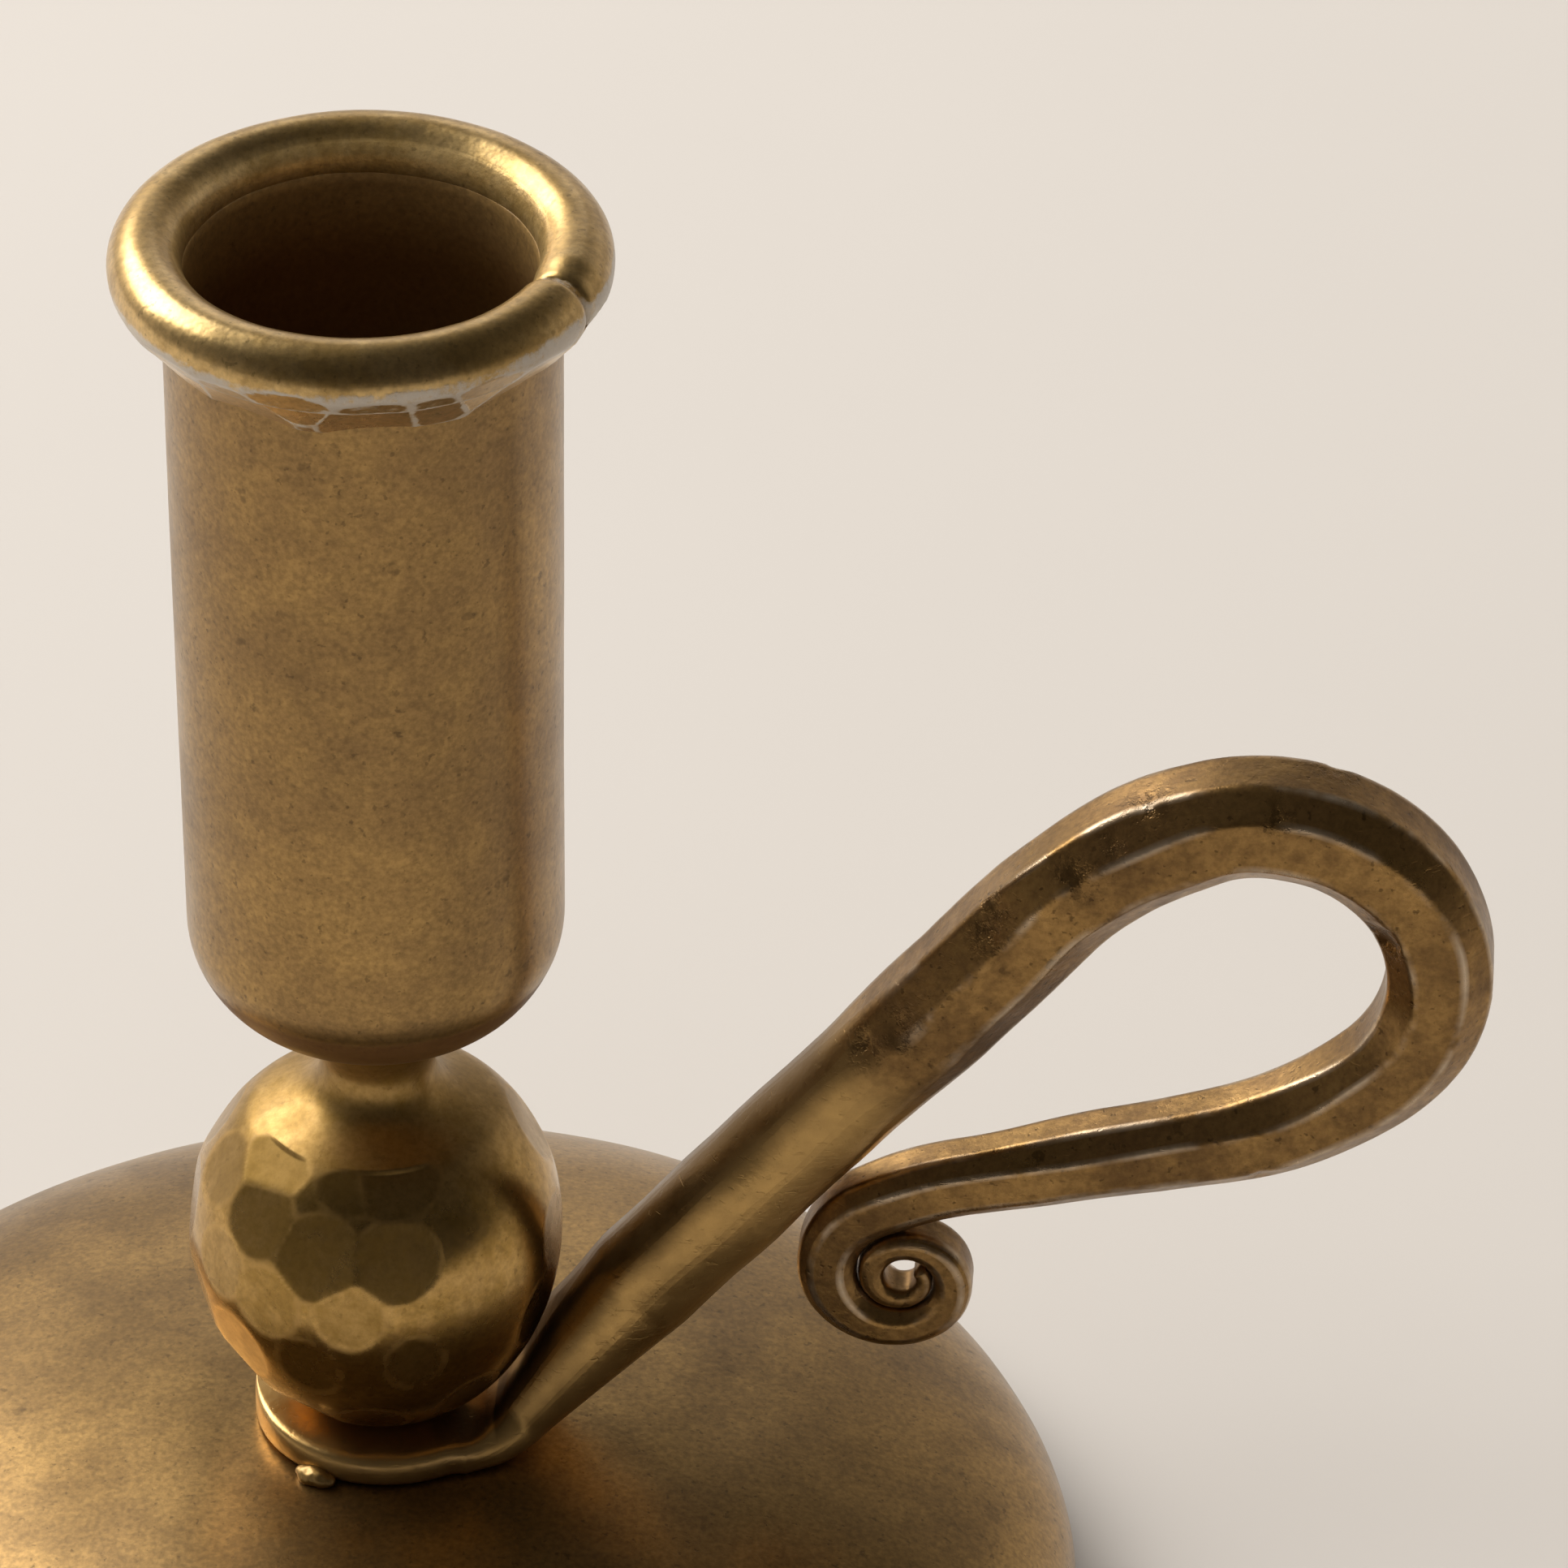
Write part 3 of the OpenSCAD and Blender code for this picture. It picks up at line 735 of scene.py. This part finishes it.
def hammer(vert, planes):
    """Presses a vertex down to the lowest flat, and says how near a border and how flat it is."""
    over = [(vert.co.dot(out) - reach, i) for i, (out, reach) in enumerate(planes)]
    (first, flat), (second, _) = sorted(over, reverse=True)[:2]
    if first <= 0:
        return 1 - smooth(-first, 0, 0.08 * MM), 0.0
    vert.co -= planes[flat][0] * first
    inset = min(first, first - second)
    return 1 - smooth(inset, 0.01 * MM, 0.11 * MM), smooth(inset, 0.03 * MM, 0.10 * MM)


class CANDLESTICK_OT_ring(bpy.types.Operator):
    """Bends the mouth ring, hammers its underside and adds the braze below it"""
    bl_idname = "candlestick.ring"
    bl_label = "Mouth ring and braze"

    def execute(self, context):
        sizes, colours = settings(context)
        bar_r = (RING_HIGH.z - RING_LOW.z) / 2
        ring_r = RING_HIGH.y - bar_r
        self.bend_ring(sizes, colours, bar_r, ring_r)
        self.lay_braze(sizes, colours, bar_r, ring_r)
        return {"FINISHED"}

    def bend_ring(self, sizes, colours, bar_r, ring_r):
        planes = ring_planes(ring_r, bar_r, RING_SPARED)
        gap = sizes.ring_seam / ring_r
        bm = bmesh.new()
        bmesh.ops.create_circle(bm, cap_ends=False, segments=64, radius=bar_r)
        start = RING_SEAM_TURN + gap / 2
        place = (
            Matrix.Rotation(start, 4, "Z") @ Matrix.Translation((ring_r, 0, RING_Z))
            @ Matrix.Rotation(math.radians(90), 4, "X")
        )
        bmesh.ops.transform(bm, matrix=place, verts=bm.verts)
        bmesh.ops.spin(
            bm, geom=list(bm.verts) + list(bm.edges), cent=(0, 0, 0), axis=(0, 0, 1),
            angle=math.tau - gap, steps=RING_STEPS, use_merge=False,
        )
        bmesh.ops.remove_doubles(bm, verts=bm.verts, dist=0.001 * MM)
        bmesh.ops.holes_fill(bm, edges=[edge for edge in bm.edges if edge.is_boundary], sides=0)
        bmesh.ops.recalc_face_normals(bm, faces=bm.faces)
        residue, cast = layer(bm, "residue"), layer(bm, "cast")
        for vert in bm.verts:
            turn = math.atan2(vert.co.y, vert.co.x)
            spoke = Vector((math.cos(turn), math.sin(turn), 0))
            middle = spoke * ring_r + Vector((0, 0, RING_Z))
            rel = vert.co - middle
            past = (turn - RING_SEAM_TURN) % math.tau
            from_end = min(past, math.tau - past) * ring_r - sizes.ring_seam / 2
            rounding = 1 - 0.10 * (1 - smooth(from_end, 0, 0.35 * MM))
            thinning = 0.009 if past > math.pi else 0.09
            neck_in = 1 - thinning * (1 - smooth(from_end, 0, 2.4 * MM))
            vert.co = middle + rel * rounding * neck_in
            border, flat = hammer(vert, planes)
            droop = math.degrees(math.atan2(-rel.z, rel.dot(spoke)))
            right = max(0, spoke.dot(RIGHT))
            band = smooth(droop, -16 - 18 * right, 8 - 18 * right)
            band *= 1 - smooth(droop, 95, 130)
            front = 0.5 + 0.5 * wobble(spoke * 20 * MM, 9 * MM, 4.2)
            under = droop > 0 or droop < -140
            vert[cast] = smooth(abs(droop), 118, 150) * (1 if under else 0.6)
            edge_line = 1 - smooth(from_end, 0.05 * MM, 0.4 * MM)
            crust = band * (0.56 + 0.36 * front + 0.2 * border) * (1 - 0.35 * flat)
            vert[residue] = max(crust, 0.7 * edge_line)
        ripple(bm, 5.3, (9 * MM, 0.07 * MM), (3.2 * MM, 0.035 * MM))
        for vert in bm.verts:
            vert.co.z = min(vert.co.z, RING_HIGH.z)
        material = brazed_brass(
            "ring_brazed", colours.ring_brass, colours.ring_patina, colours.residue, 0.31
        )
        piece("mouth_ring", bm, material, "ring_brass", "rim_ring")

    def lay_braze(self, sizes, colours, bar_r, ring_r):
        """The collar of braze leans from the ring's lower outside down to the cup."""
        planes = ring_planes(ring_r, bar_r, 0)
        drop = 0.55 * bar_r
        top = RING_Z - drop
        low = top - sizes.braze_height
        edge = ring_r + math.sqrt(bar_r ** 2 - drop ** 2)
        root = CUP_R - 0.3 * MM
        flank = [
            (blend(CUP_R, edge, out), blend(low, top, up))
            for out, up in ((0.34, 0.28), (0.70, 0.60), (0.96, 0.92))
        ]
        outline = [(root, low), (CUP_R + 0.02 * MM, low), (CUP_R + 0.22 * MM, low + 0.12 * MM)]
        outline += flank + [(edge - 0.02 * MM, top + 0.1 * MM), (edge - 0.6 * MM, top + 0.3 * MM)]
        outline.append((root, top))
        bm = spun(spaced(outline, 0.16 * MM), RING_STEPS, closed=True)
        residue = layer(bm, "residue")
        for vert in bm.verts:
            spoke = Vector((vert.co.x, vert.co.y, 0)).normalized()
            sag = (0.22 * wobble(spoke * 20 * MM, 3.5 * MM, 2.6) - 0.05) * MM
            vert.co.z -= sag * (1 - smooth(vert.co.z, low, low + 1.2 * MM))
            border, flat = hammer(vert, planes)
            vert[residue] = 0.36 + 0.46 * border - 0.24 * flat
        ripple(bm, 6.1, (1.6 * MM, 0.03 * MM))
        material = brazed_brass(
            "braze_crust", colours.braze, colours.ring_brass, colours.residue, 0.27
        )
        piece("mouth_braze", bm, material, "braze", "rim_braze")


# ---- Handle ----
# The handle's own sizes, in millimetres and degrees
EYE_T = 2.4
EYE_MID_Z = SEAT_Z / MM + EYE_T / 2
BEND_R, BEND_TURN = 5.0, 50.6
TAB_W, BEND_END_T, BAR_W = 14.4, 4.2, 7.9
BAR_CUT = 0.293 * BAR_W
RISE_RUN, TAIL_RUN = 53.4, 16.4
# Radius and turn of the crown, the loop, the easing under it and the lift into the scroll
CROWN, LOOP, EASE, LIFT = (25, -28.4), (11.6, -160), (26, -27.6), (27.2, 14.2)
TAIL_W, TAIL_H = 4.4, 4.5
SCROLL_R, SCROLL_SHRINK, SCROLL_TURN = 6.0, 0.42, 640
SCROLL_PITCH = math.atan(-math.log(SCROLL_SHRINK) / math.tau)
BALL_GAP = 3.6


class Path:
    """The handle's centre line in the XZ plane, walked in straight runs and arcs (millimetres)."""

    def __init__(self, x, z):
        self.state = (x, z, 0.0, 0.0)
        self.states = []

    def ahead(self, run, gap=0.4):
        x, z, heading, walked = self.state
        turn = math.radians(heading)
        for share in self.shares(run, gap):
            place = (x + share * run * math.cos(turn), z + share * run * math.sin(turn))
            self.states.append((*place, heading, walked + share * run))
        return self.arrive()

    def bend(self, radius, angle, gap=0.35):
        x, z, heading, walked = self.state
        run = radius * abs(math.radians(angle))
        radius = math.copysign(radius, angle)
        turn = math.radians(heading)
        cx, cz = x - radius * math.sin(turn), z + radius * math.cos(turn)
        for share in self.shares(run, gap):
            here = heading + angle * share
            turn = math.radians(here)
            place = (cx + radius * math.sin(turn), cz - radius * math.cos(turn))
            self.states.append((*place, here, walked + run * share))
        return self.arrive()

    def shares(self, run, gap):
        count = max(1, math.ceil(run / gap))
        return [i / count for i in range(1, count + 1)]

    def arrive(self):
        """Stands at the last point, and says how far along the bar it is."""
        self.state = self.states[-1]
        return self.state[3]

    def scroll(self, count):
        """The closing spiral, which shrinks by the same share in every turn."""
        x, z, heading, walked = self.state
        pitch = math.degrees(SCROLL_PITCH)
        first = heading - 90 - pitch
        cx = x - SCROLL_R * math.cos(math.radians(first))
        cz = z - SCROLL_R * math.sin(math.radians(first))
        for i in range(1, count + 1):
            turned = SCROLL_TURN * i / count
            here = SCROLL_R * SCROLL_SHRINK ** (turned / 360)
            turn = math.radians(first + turned)
            self.states.append((
                cx + here * math.cos(turn), cz + here * math.sin(turn), first + turned + 90 + pitch,
                walked + (SCROLL_R - here) / math.sin(SCROLL_PITCH),
            ))


def blend(low, high, share):
    return low + (high - low) * share


def lookup(value, table):
    """Straight-line value in a table of (place, value) pairs, in order of place."""
    for (start, first), (end, second) in zip(table, table[1:]):
        if value <= end:
            share = max(0.0, (value - start) / (end - start)) if end > start else 1.0
            return tuple(blend(a, b, share) for a, b in zip(first, second))
    return table[-1][1]


# Dents: share of the handle's length, side (across, up), half-length and depth in millimetres
DENTS = (
    (0.276, -0.75, 0.7, 0.9, 0.22), (0.290, -0.9, 0.5, 1.1, 0.20), (0.345, -0.75, 0.7, 1.0, 0.26),
    (0.352, -0.55, 0.85, 0.8, 0.18), (0.385, -0.9, 0.5, 1.2, 0.16), (0.402, -0.7, 0.75, 0.7, 0.20),
    (0.415, -0.35, 0.95, 1.1, 0.16), (0.455, -0.8, 0.5, 0.8, 0.14), (0.24, 0.8, 0.5, 1.6, 0.20),
    (0.31, 0.8, 0.6, 1.2, 0.22), (0.37, 0.7, 0.7, 1.4, 0.18), (0.47, 0.7, 0.7, 1.5, 0.18),
    (0.52, -0.7, -0.6, 1.4, 0.14), (0.62, 0.8, 0.5, 1.6, 0.14), (0.66, -0.7, 0.6, 1.0, 0.12),
)
SIDE_SHARES = (0.07, 0.36, 0.64, 0.93)
CORNER_POINTS = (0, 0.5, 1)


def octagon(width, height, cuts, rounding):
    """Section of the bar: eight flats with rounded corners, and how worn each point is."""
    w, h = width / 2, height / 2
    a, b, c, d = cuts
    tips = [Vector(tip) for tip in (
        (w, h - a), (w - a, h), (b - w, h), (-w, h - b),
        (-w, c - h), (c - w, -h), (w - d, -h), (w, d - h),
    )]
    points, wear = [], []
    for i, here in enumerate(tips):
        before, after = tips[i - 1], tips[(i + 1) % len(tips)]
        back, on = before - here, after - here
        start = here + back.normalized() * min(rounding, 0.42 * back.length)
        end = here + on.normalized() * min(rounding, 0.42 * on.length)
        for t in CORNER_POINTS:
            points.append((1 - t) ** 2 * start + 2 * t * (1 - t) * here + t * t * end)
            wear.append(1.0 if t == 0.5 else 0.35)
        turn = on.normalized() * (on.length - min(rounding, 0.42 * on.length))
        for share in SIDE_SHARES:
            points.append(end.lerp(here + turn, share))
            wear.append(0.0)
    return points, wear


class CANDLESTICK_OT_handle(bpy.types.Operator):
    """Forges the handle: its eye, the rise, the loop and the scroll"""
    bl_idname = "candlestick.handle"
    bl_label = "Forged handle"

    def execute(self, context):
        sizes, colours = settings(context)
        rings = self.sections(sizes)
        bm = bmesh.new()
        bmesh.ops.create_circle(bm, cap_ends=True, segments=len(rings[0][3]), radius=MM)
        rubs = [layer(bm, name) for name in ("wear", "top_shade", "polish")]
        dent = layer(bm, "dent")
        loop = list(bm.verts)
        edges = self.place(bm, loop, rings[0], rubs)
        for ring in rings[1:]:
            made = bmesh.ops.extrude_edge_only(bm, edges=edges)["geom"]
            fresh = {vert for vert in made if isinstance(vert, bmesh.types.BMVert)}
            loop = [
                next(end for edge in vert.link_edges if (end := edge.other_vert(vert)) in fresh)
                for vert in loop
            ]
            edges = self.place(bm, loop, ring, rubs)
        bmesh.ops.edgeloop_fill(bm, edges=edges)
        bmesh.ops.recalc_face_normals(bm, faces=bm.faces)
        self.dent(bm, rings, dent)
        flat_top = SEAT_Z + EYE_T * MM

        def forged(point):
            """The eye stays flat where the ball and the dome hold it."""
            clear = smooth(math.hypot(point.x, point.y), 9 * MM, 16 * MM)
            return max(clear, smooth(point.z, flat_top, flat_top + 4 * MM))

        waves = ((9 * MM, 0.07 * MM), (3 * MM, 0.018 * MM), (1.0 * MM, 0.010 * MM))
        ripple(bm, 8.4, *waves, keep=forged)
        for vert in bm.verts:
            vert.co.x = min(vert.co.x, HANDLE_HIGH.x)
        material = forged_bronze(
            "handle_forged", colours.handle_brass, colours.handle_patina, colours.handle_gold, 0.27
        )
        piece("forged_handle", bm, material, "handle_brass", "handle")
        return {"FINISHED"}

    def place(self, bm, loop, ring, layers):
        """Puts a loop of vertices on a section and returns the edges between them."""
        centre, across, up, points, rubs = ring[:5]
        for vert, point, values in zip(loop, points, rubs):
            vert.co = (centre + across * point.x + up * point.y) * MM
            for key, value in zip(layers, values):
                vert[key] = value
        return [bm.edges.get(pair) for pair in zip(loop, loop[1:] + loop[:1])]

    def sections(self, sizes):
        """Each section as its centre, its two directions, its points, their rubs and its place."""
        eye_r = sizes.eye_radius / MM
        path = Path(0, EYE_MID_Z)
        flat_end = path.ahead(self.flat_run(), 0.5)
        bend_l = path.bend(BEND_R, BEND_TURN, 0.3)
        rise_l = path.ahead(RISE_RUN)
        crown_l = path.bend(*CROWN)
        loop_l = path.bend(*LOOP, 0.3)
        ease_l = path.bend(*EASE)
        path.ahead(TAIL_RUN)
        lift_l = path.bend(*LIFT)
        path.scroll(150)

        # Width, height and corner cut of the bar at places along it
        table = [(0, (TAB_W, EYE_T, 0.5))]
        for i in range(9):
            t = i / 8
            tilt = math.cos(math.radians(t * BEND_TURN))
            lift = BEND_R * (1 - tilt)
            height = min(blend(EYE_T, BEND_END_T, t), (EYE_T + 1.8 * lift) / tilt)
            width = blend(TAB_W, BAR_W, 0.6 * t)
            table.append((blend(flat_end, bend_l, t), (width, height, 0.5 + 0.8 * t)))
        table += [
            (bend_l + 12, (BAR_W, BAR_W, BAR_CUT)), (rise_l, (BAR_W, BAR_W, BAR_CUT)),
            (crown_l, (7.2, 7.3, 1.8)), (blend(crown_l, loop_l, 0.7), (7.2, 7.0, 1.8)),
            (ease_l, (5.66, 6.0, 1.5)), (lift_l, (TAIL_W, TAIL_H, 1.1)),
        ]
        end = path.states[-1][3]
        # The eye's round back, from its tip to its middle
        rings = [self.ring(-eye_r, EYE_MID_Z, 0, 0.1 * eye_r, 0.6 * EYE_T, (0.3,) * 4, 0)]
        for i in range(34):
            turn = math.radians(5 + 85 * i / 33)
            width = 2 * eye_r * math.sin(turn)
            rings.append(
                self.ring(-eye_r * math.cos(turn), EYE_MID_Z, 0, width, EYE_T, (0.5,) * 4, 0)
            )
        for x, z, heading, walked in path.states:
            if walked > lift_l + 0.01:
                here = SCROLL_R - (walked - lift_l) * math.sin(SCROLL_PITCH)
                height = 0.76 * here
                width, cut = blend(0.6 * TAIL_W, TAIL_W, here / SCROLL_R), 0.24 * height
            else:
                width, height, cut = lookup(walked, table)
            if walked <= flat_end and x < eye_r:
                disc = 2 * math.sqrt(max(0, eye_r ** 2 - x ** 2))
                width = 0.5 * (disc + TAB_W + math.sqrt((disc - TAB_W) ** 2 + 0.3))
            shift = Vector((walked / 7, 0, 0))
            vary = 0.22 * smooth(walked, bend_l, bend_l + 8)
            swings = [noise.noise(shift + Vector((0, 3.1 * k, 7))) for k in range(4)]
            cuts = tuple(cut * (1 + vary * swing) for swing in swings)
            sharp = smooth(walked, bend_l + 0.5 * (rise_l - bend_l), rise_l - 6)
            rounding = blend(1.7, 0.28, sharp) if walked > bend_l - 2 else 0.6
            rings.append(self.ring(x, z, heading, width, height, cuts, walked / end, rounding))
        return rings

    def flat_run(self):
        """How far the eye runs on before the bend, so that the rise clears the ball."""
        turn = math.radians(BEND_TURN)
        drop = (BALL_FOOT_H / MM + EYE_T / 2) * math.cos(turn)
        side = (BALL_R / MM + BALL_GAP - drop) / math.sin(turn)
        return side - BEND_R * math.tan(turn / 2)

    def ring(self, x, z, heading, width, height, cuts, share, rounding=0.6):
        turn = math.radians(heading)
        up = Vector((-math.sin(turn), 0, math.cos(turn)))
        points, wear = octagon(width, height, cuts, rounding)
        keen, satin = 1 - smooth(rounding, 0.3, 0.7), smooth(rounding, 0.7, 1.3)
        polish = max(satin, 1 - smooth(share, 0.08, 0.12))
        # The second rub of each point is painted shade on the upper side of a rounded section.
        rubs = [
            (keen * rub, satin * smooth(2 * point.y / height, 0.35, 0.85), polish)
            for point, rub in zip(points, wear)
        ]
        return Vector((x, 0, z)), Vector((0, 1, 0)), up, points, rubs, share

    def dent(self, bm, rings, dent):
        """Presses a shallow hollow into the bar at each dent."""
        for share, side, lift, size, depth in DENTS:
            ring = min(rings, key=lambda item: abs(item[5] - share))
            centre, across, up, points = ring[:4]
            way = (across * side + up * lift).normalized()
            bar = max(point.x * way.dot(across) + point.y * way.dot(up) for point in points)
            spot = (centre + way * bar) * MM
            for vert in bm.verts:
                away = (vert.co - spot).length / (size * MM)
                if away < 1.6:
                    jagged = away + 0.35 * wobble(vert.co, 0.9 * MM, 3.3)
                    press = 1 - smooth(jagged, 0.35, 1.1)
                    vert.co -= way * depth * press * MM
                if away < 3:
                    vert[dent] = max(vert[dent], 0.8 * (1 - smooth(away, 0.3, 2.6)))


class CANDLESTICK_OT_beads(bpy.types.Operator):
    """Melts the two braze beads against the eye's edge"""
    bl_idname = "candlestick.beads"
    bl_label = "Braze beads"

    def execute(self, context):
        sizes, colours = settings(context)
        bm = bmesh.new()
        for turn in (-116, 118):
            made = bmesh.ops.create_icosphere(bm, subdivisions=5, radius=sizes.bead)["verts"]
            out = sizes.eye_radius + 0.2 * sizes.bead
            place = (
                Matrix.Rotation(math.radians(turn), 4, "Z")
                @ Matrix.Translation((out, 0, SEAT_Z + 0.35 * sizes.bead))
                @ Matrix.Diagonal((0.8, 1.35, 0.62, 1))
            )
            bmesh.ops.transform(bm, matrix=place, verts=made)
        residue = layer(bm, "residue")
        ripple(bm, 9.2, (1.1 * MM, 0.18 * MM), (0.4 * MM, 0.04 * MM))
        for vert in bm.verts:
            vert[residue] = 0
        bmesh.ops.recalc_face_normals(bm, faces=bm.faces)
        bead = shaded(colours.handle_gold, 0.8)
        material = brazed_brass("bead_braze", bead, colours.ring_patina, colours.residue, 0.4)
        piece("braze_beads", bm, material, "braze", "eye_braze")
        return {"FINISHED"}


class CANDLESTICK_OT_fasteners(bpy.types.Operator):
    """Gives the screw, the nut and the washers their metals"""
    bl_idname = "candlestick.fasteners"
    bl_label = "Fasteners"

    def execute(self, context):
        colours = settings(context)[1]
        zinc = plated_steel("zinc_plate", colours.zinc)
        brass = satin_brass("washer_satin", colours.ring_brass, colours.ring_patina, 0.3)
        finishes = {
            "tie_screw": zinc, "lock_washer": zinc, "base_nut": zinc,
            "cup_washer": brass, "base_washer": brass,
        }
        for node, material in finishes.items():
            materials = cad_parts[node].data.materials
            materials.clear()
            materials.append(material)
        return {"FINISHED"}


# ---- Stage ----
LIT_POINT = Vector((0, 0, 0.06))
WARM, SOFT = (1.0, 0.98, 0.95), (1.0, 0.985, 0.965)
# Each light's name, direction, distance, size, watts, colour, and whether the metal mirrors it
LIGHTS = (
    ("key_softbox", (-0.64, 0.46, 0.60), 1.3, (0.95, 0.7), 14, WARM, True),
    ("back_softbox", (-0.20, 0.88, 0.44), 1.5, (1.2, 0.5), 1.2, WARM, True),
    ("top_fill", (-0.25, 0.1, 1.0), 1.8, (2.4, 2.4), 33.5, SOFT, False),
)
DIM_SKY, PALE_SKY = (0.05, 0.045, 0.04), (0.62, 0.57, 0.52)
# The camera's lens in millimetres, and its place from the middle of the mouth ring
LENS = 223.6
CAMERA_DROP, CAMERA_RIGHT, CAMERA_BACK = 39.841 * MM, 26.713 * MM, 632.515 * MM


def soft_light(name, way, distance, size, watts, colour, glossy):
    data = bpy.data.lights.new(name, "AREA")
    data.shape = "RECTANGLE"
    data.size, data.size_y = size
    data.energy = watts
    data.color = colour
    light = added(name, data)
    light.location = LIT_POINT + Vector(way).normalized() * distance
    light.rotation_euler = (LIT_POINT - light.location).to_track_quat("-Z", "Y").to_euler()
    light.visible_glossy = glossy


class CANDLESTICK_OT_stage(bpy.types.Operator):
    """Adds the floor, the soft lights, the sky and the camera"""
    bl_idname = "candlestick.stage"
    bl_label = "Stage"

    def execute(self, context):
        self.floor(context)
        self.sky(context)
        for light in LIGHTS:
            soft_light(*light)
        self.camera(context)
        scene = context.scene
        scene.view_settings.view_transform = "Standard"
        scene.view_settings.look = "None"
        return {"FINISHED"}

    def floor(self, context):
        bm = bmesh.new()
        bmesh.ops.create_grid(bm, x_segments=8, y_segments=8, size=6)
        shader = Shader("floor_paper")
        colour = settings(context)[1].floor
        shade = shader.mix(shader.noise(14, 3), shaded(colour, 0.97), colour)
        paper = shader.finish(Base_Color=shade, Roughness=0.9)
        meshed("floor", bm, paper)

    def sky(self, context):
        """Pale low behind the object, dim overhead and towards the viewer."""
        world = bpy.data.worlds.new("studio")
        context.scene.world = world
        world.use_nodes = True
        nodes = Nodes(world.node_tree)
        way = nodes.field("ShaderNodeTexCoord", output="Generated")
        split = nodes.node("ShaderNodeSeparateXYZ", None, {"Vector": way})
        right, back, up = (Field(nodes, split.outputs[axis]) for axis in "XYZ")
        left = nodes.step(right, -0.3, -0.95) * 0.25
        pale = nodes.step(up, 0.80, 0.15) * nodes.step(back, -0.35, 0.45).at_least(left)
        background = world.node_tree.nodes["Background"]
        nodes.feed(background.inputs["Color"], nodes.mix(pale, DIM_SKY, PALE_SKY))

    def camera(self, context):
        data = bpy.data.cameras.new("camera")
        data.sensor_width = 36
        data.lens = LENS
        data.clip_start, data.clip_end = 0.01, 50
        made = added("camera", data)
        right = RIGHT * math.cos(VIEW_ROLL) + UP * math.sin(VIEW_ROLL)
        up = UP * math.cos(VIEW_ROLL) - RIGHT * math.sin(VIEW_ROLL)
        place = Vector((0, 0, RING_Z - CAMERA_DROP)) + RIGHT * CAMERA_RIGHT + BACK * CAMERA_BACK
        turn = Matrix((right, up, BACK)).transposed().to_4x4()
        made.matrix_world = Matrix.Translation(place) @ turn
        context.scene.camera = made


# ---- Add-on ----
OPERATORS = (
    CANDLESTICK_OT_dome,
    CANDLESTICK_OT_felt,
    CANDLESTICK_OT_ball,
    CANDLESTICK_OT_cup,
    CANDLESTICK_OT_ring,
    CANDLESTICK_OT_handle,
    CANDLESTICK_OT_beads,
    CANDLESTICK_OT_fasteners,
    CANDLESTICK_OT_stage,
)


class CANDLESTICK_PT_panel(bpy.types.Panel):
    """Lists the candlestick's sizes, colours and pieces"""
    bl_idname = "CANDLESTICK_PT_panel"
    bl_label = "Brass Candlestick"
    bl_space_type = "VIEW_3D"
    bl_region_type = "UI"
    bl_category = "Candlestick"

    def draw(self, context):
        for group in (context.scene.candlestick_sizes, context.scene.candlestick_colours):
            box = self.layout.box()
            for name in group.__annotations__:
                box.prop(group, name)
        for operator in OPERATORS:
            self.layout.operator(operator.bl_idname)


CLASSES = (CandlestickSizes, CandlestickColours) + OPERATORS + (CANDLESTICK_PT_panel,)


def register():
    for cls in CLASSES:
        bpy.utils.register_class(cls)
    bpy.types.Scene.candlestick_sizes = bpy.props.PointerProperty(type=CandlestickSizes)
    bpy.types.Scene.candlestick_colours = bpy.props.PointerProperty(type=CandlestickColours)


def unregister():
    del bpy.types.Scene.candlestick_colours
    del bpy.types.Scene.candlestick_sizes
    for cls in reversed(CLASSES):
        bpy.utils.unregister_class(cls)


def main():
    register()
    for operator in OPERATORS:
        group, name = operator.bl_idname.split(".")
        getattr(getattr(bpy.ops, group), name)()


if __name__ == "__main__":
    main()
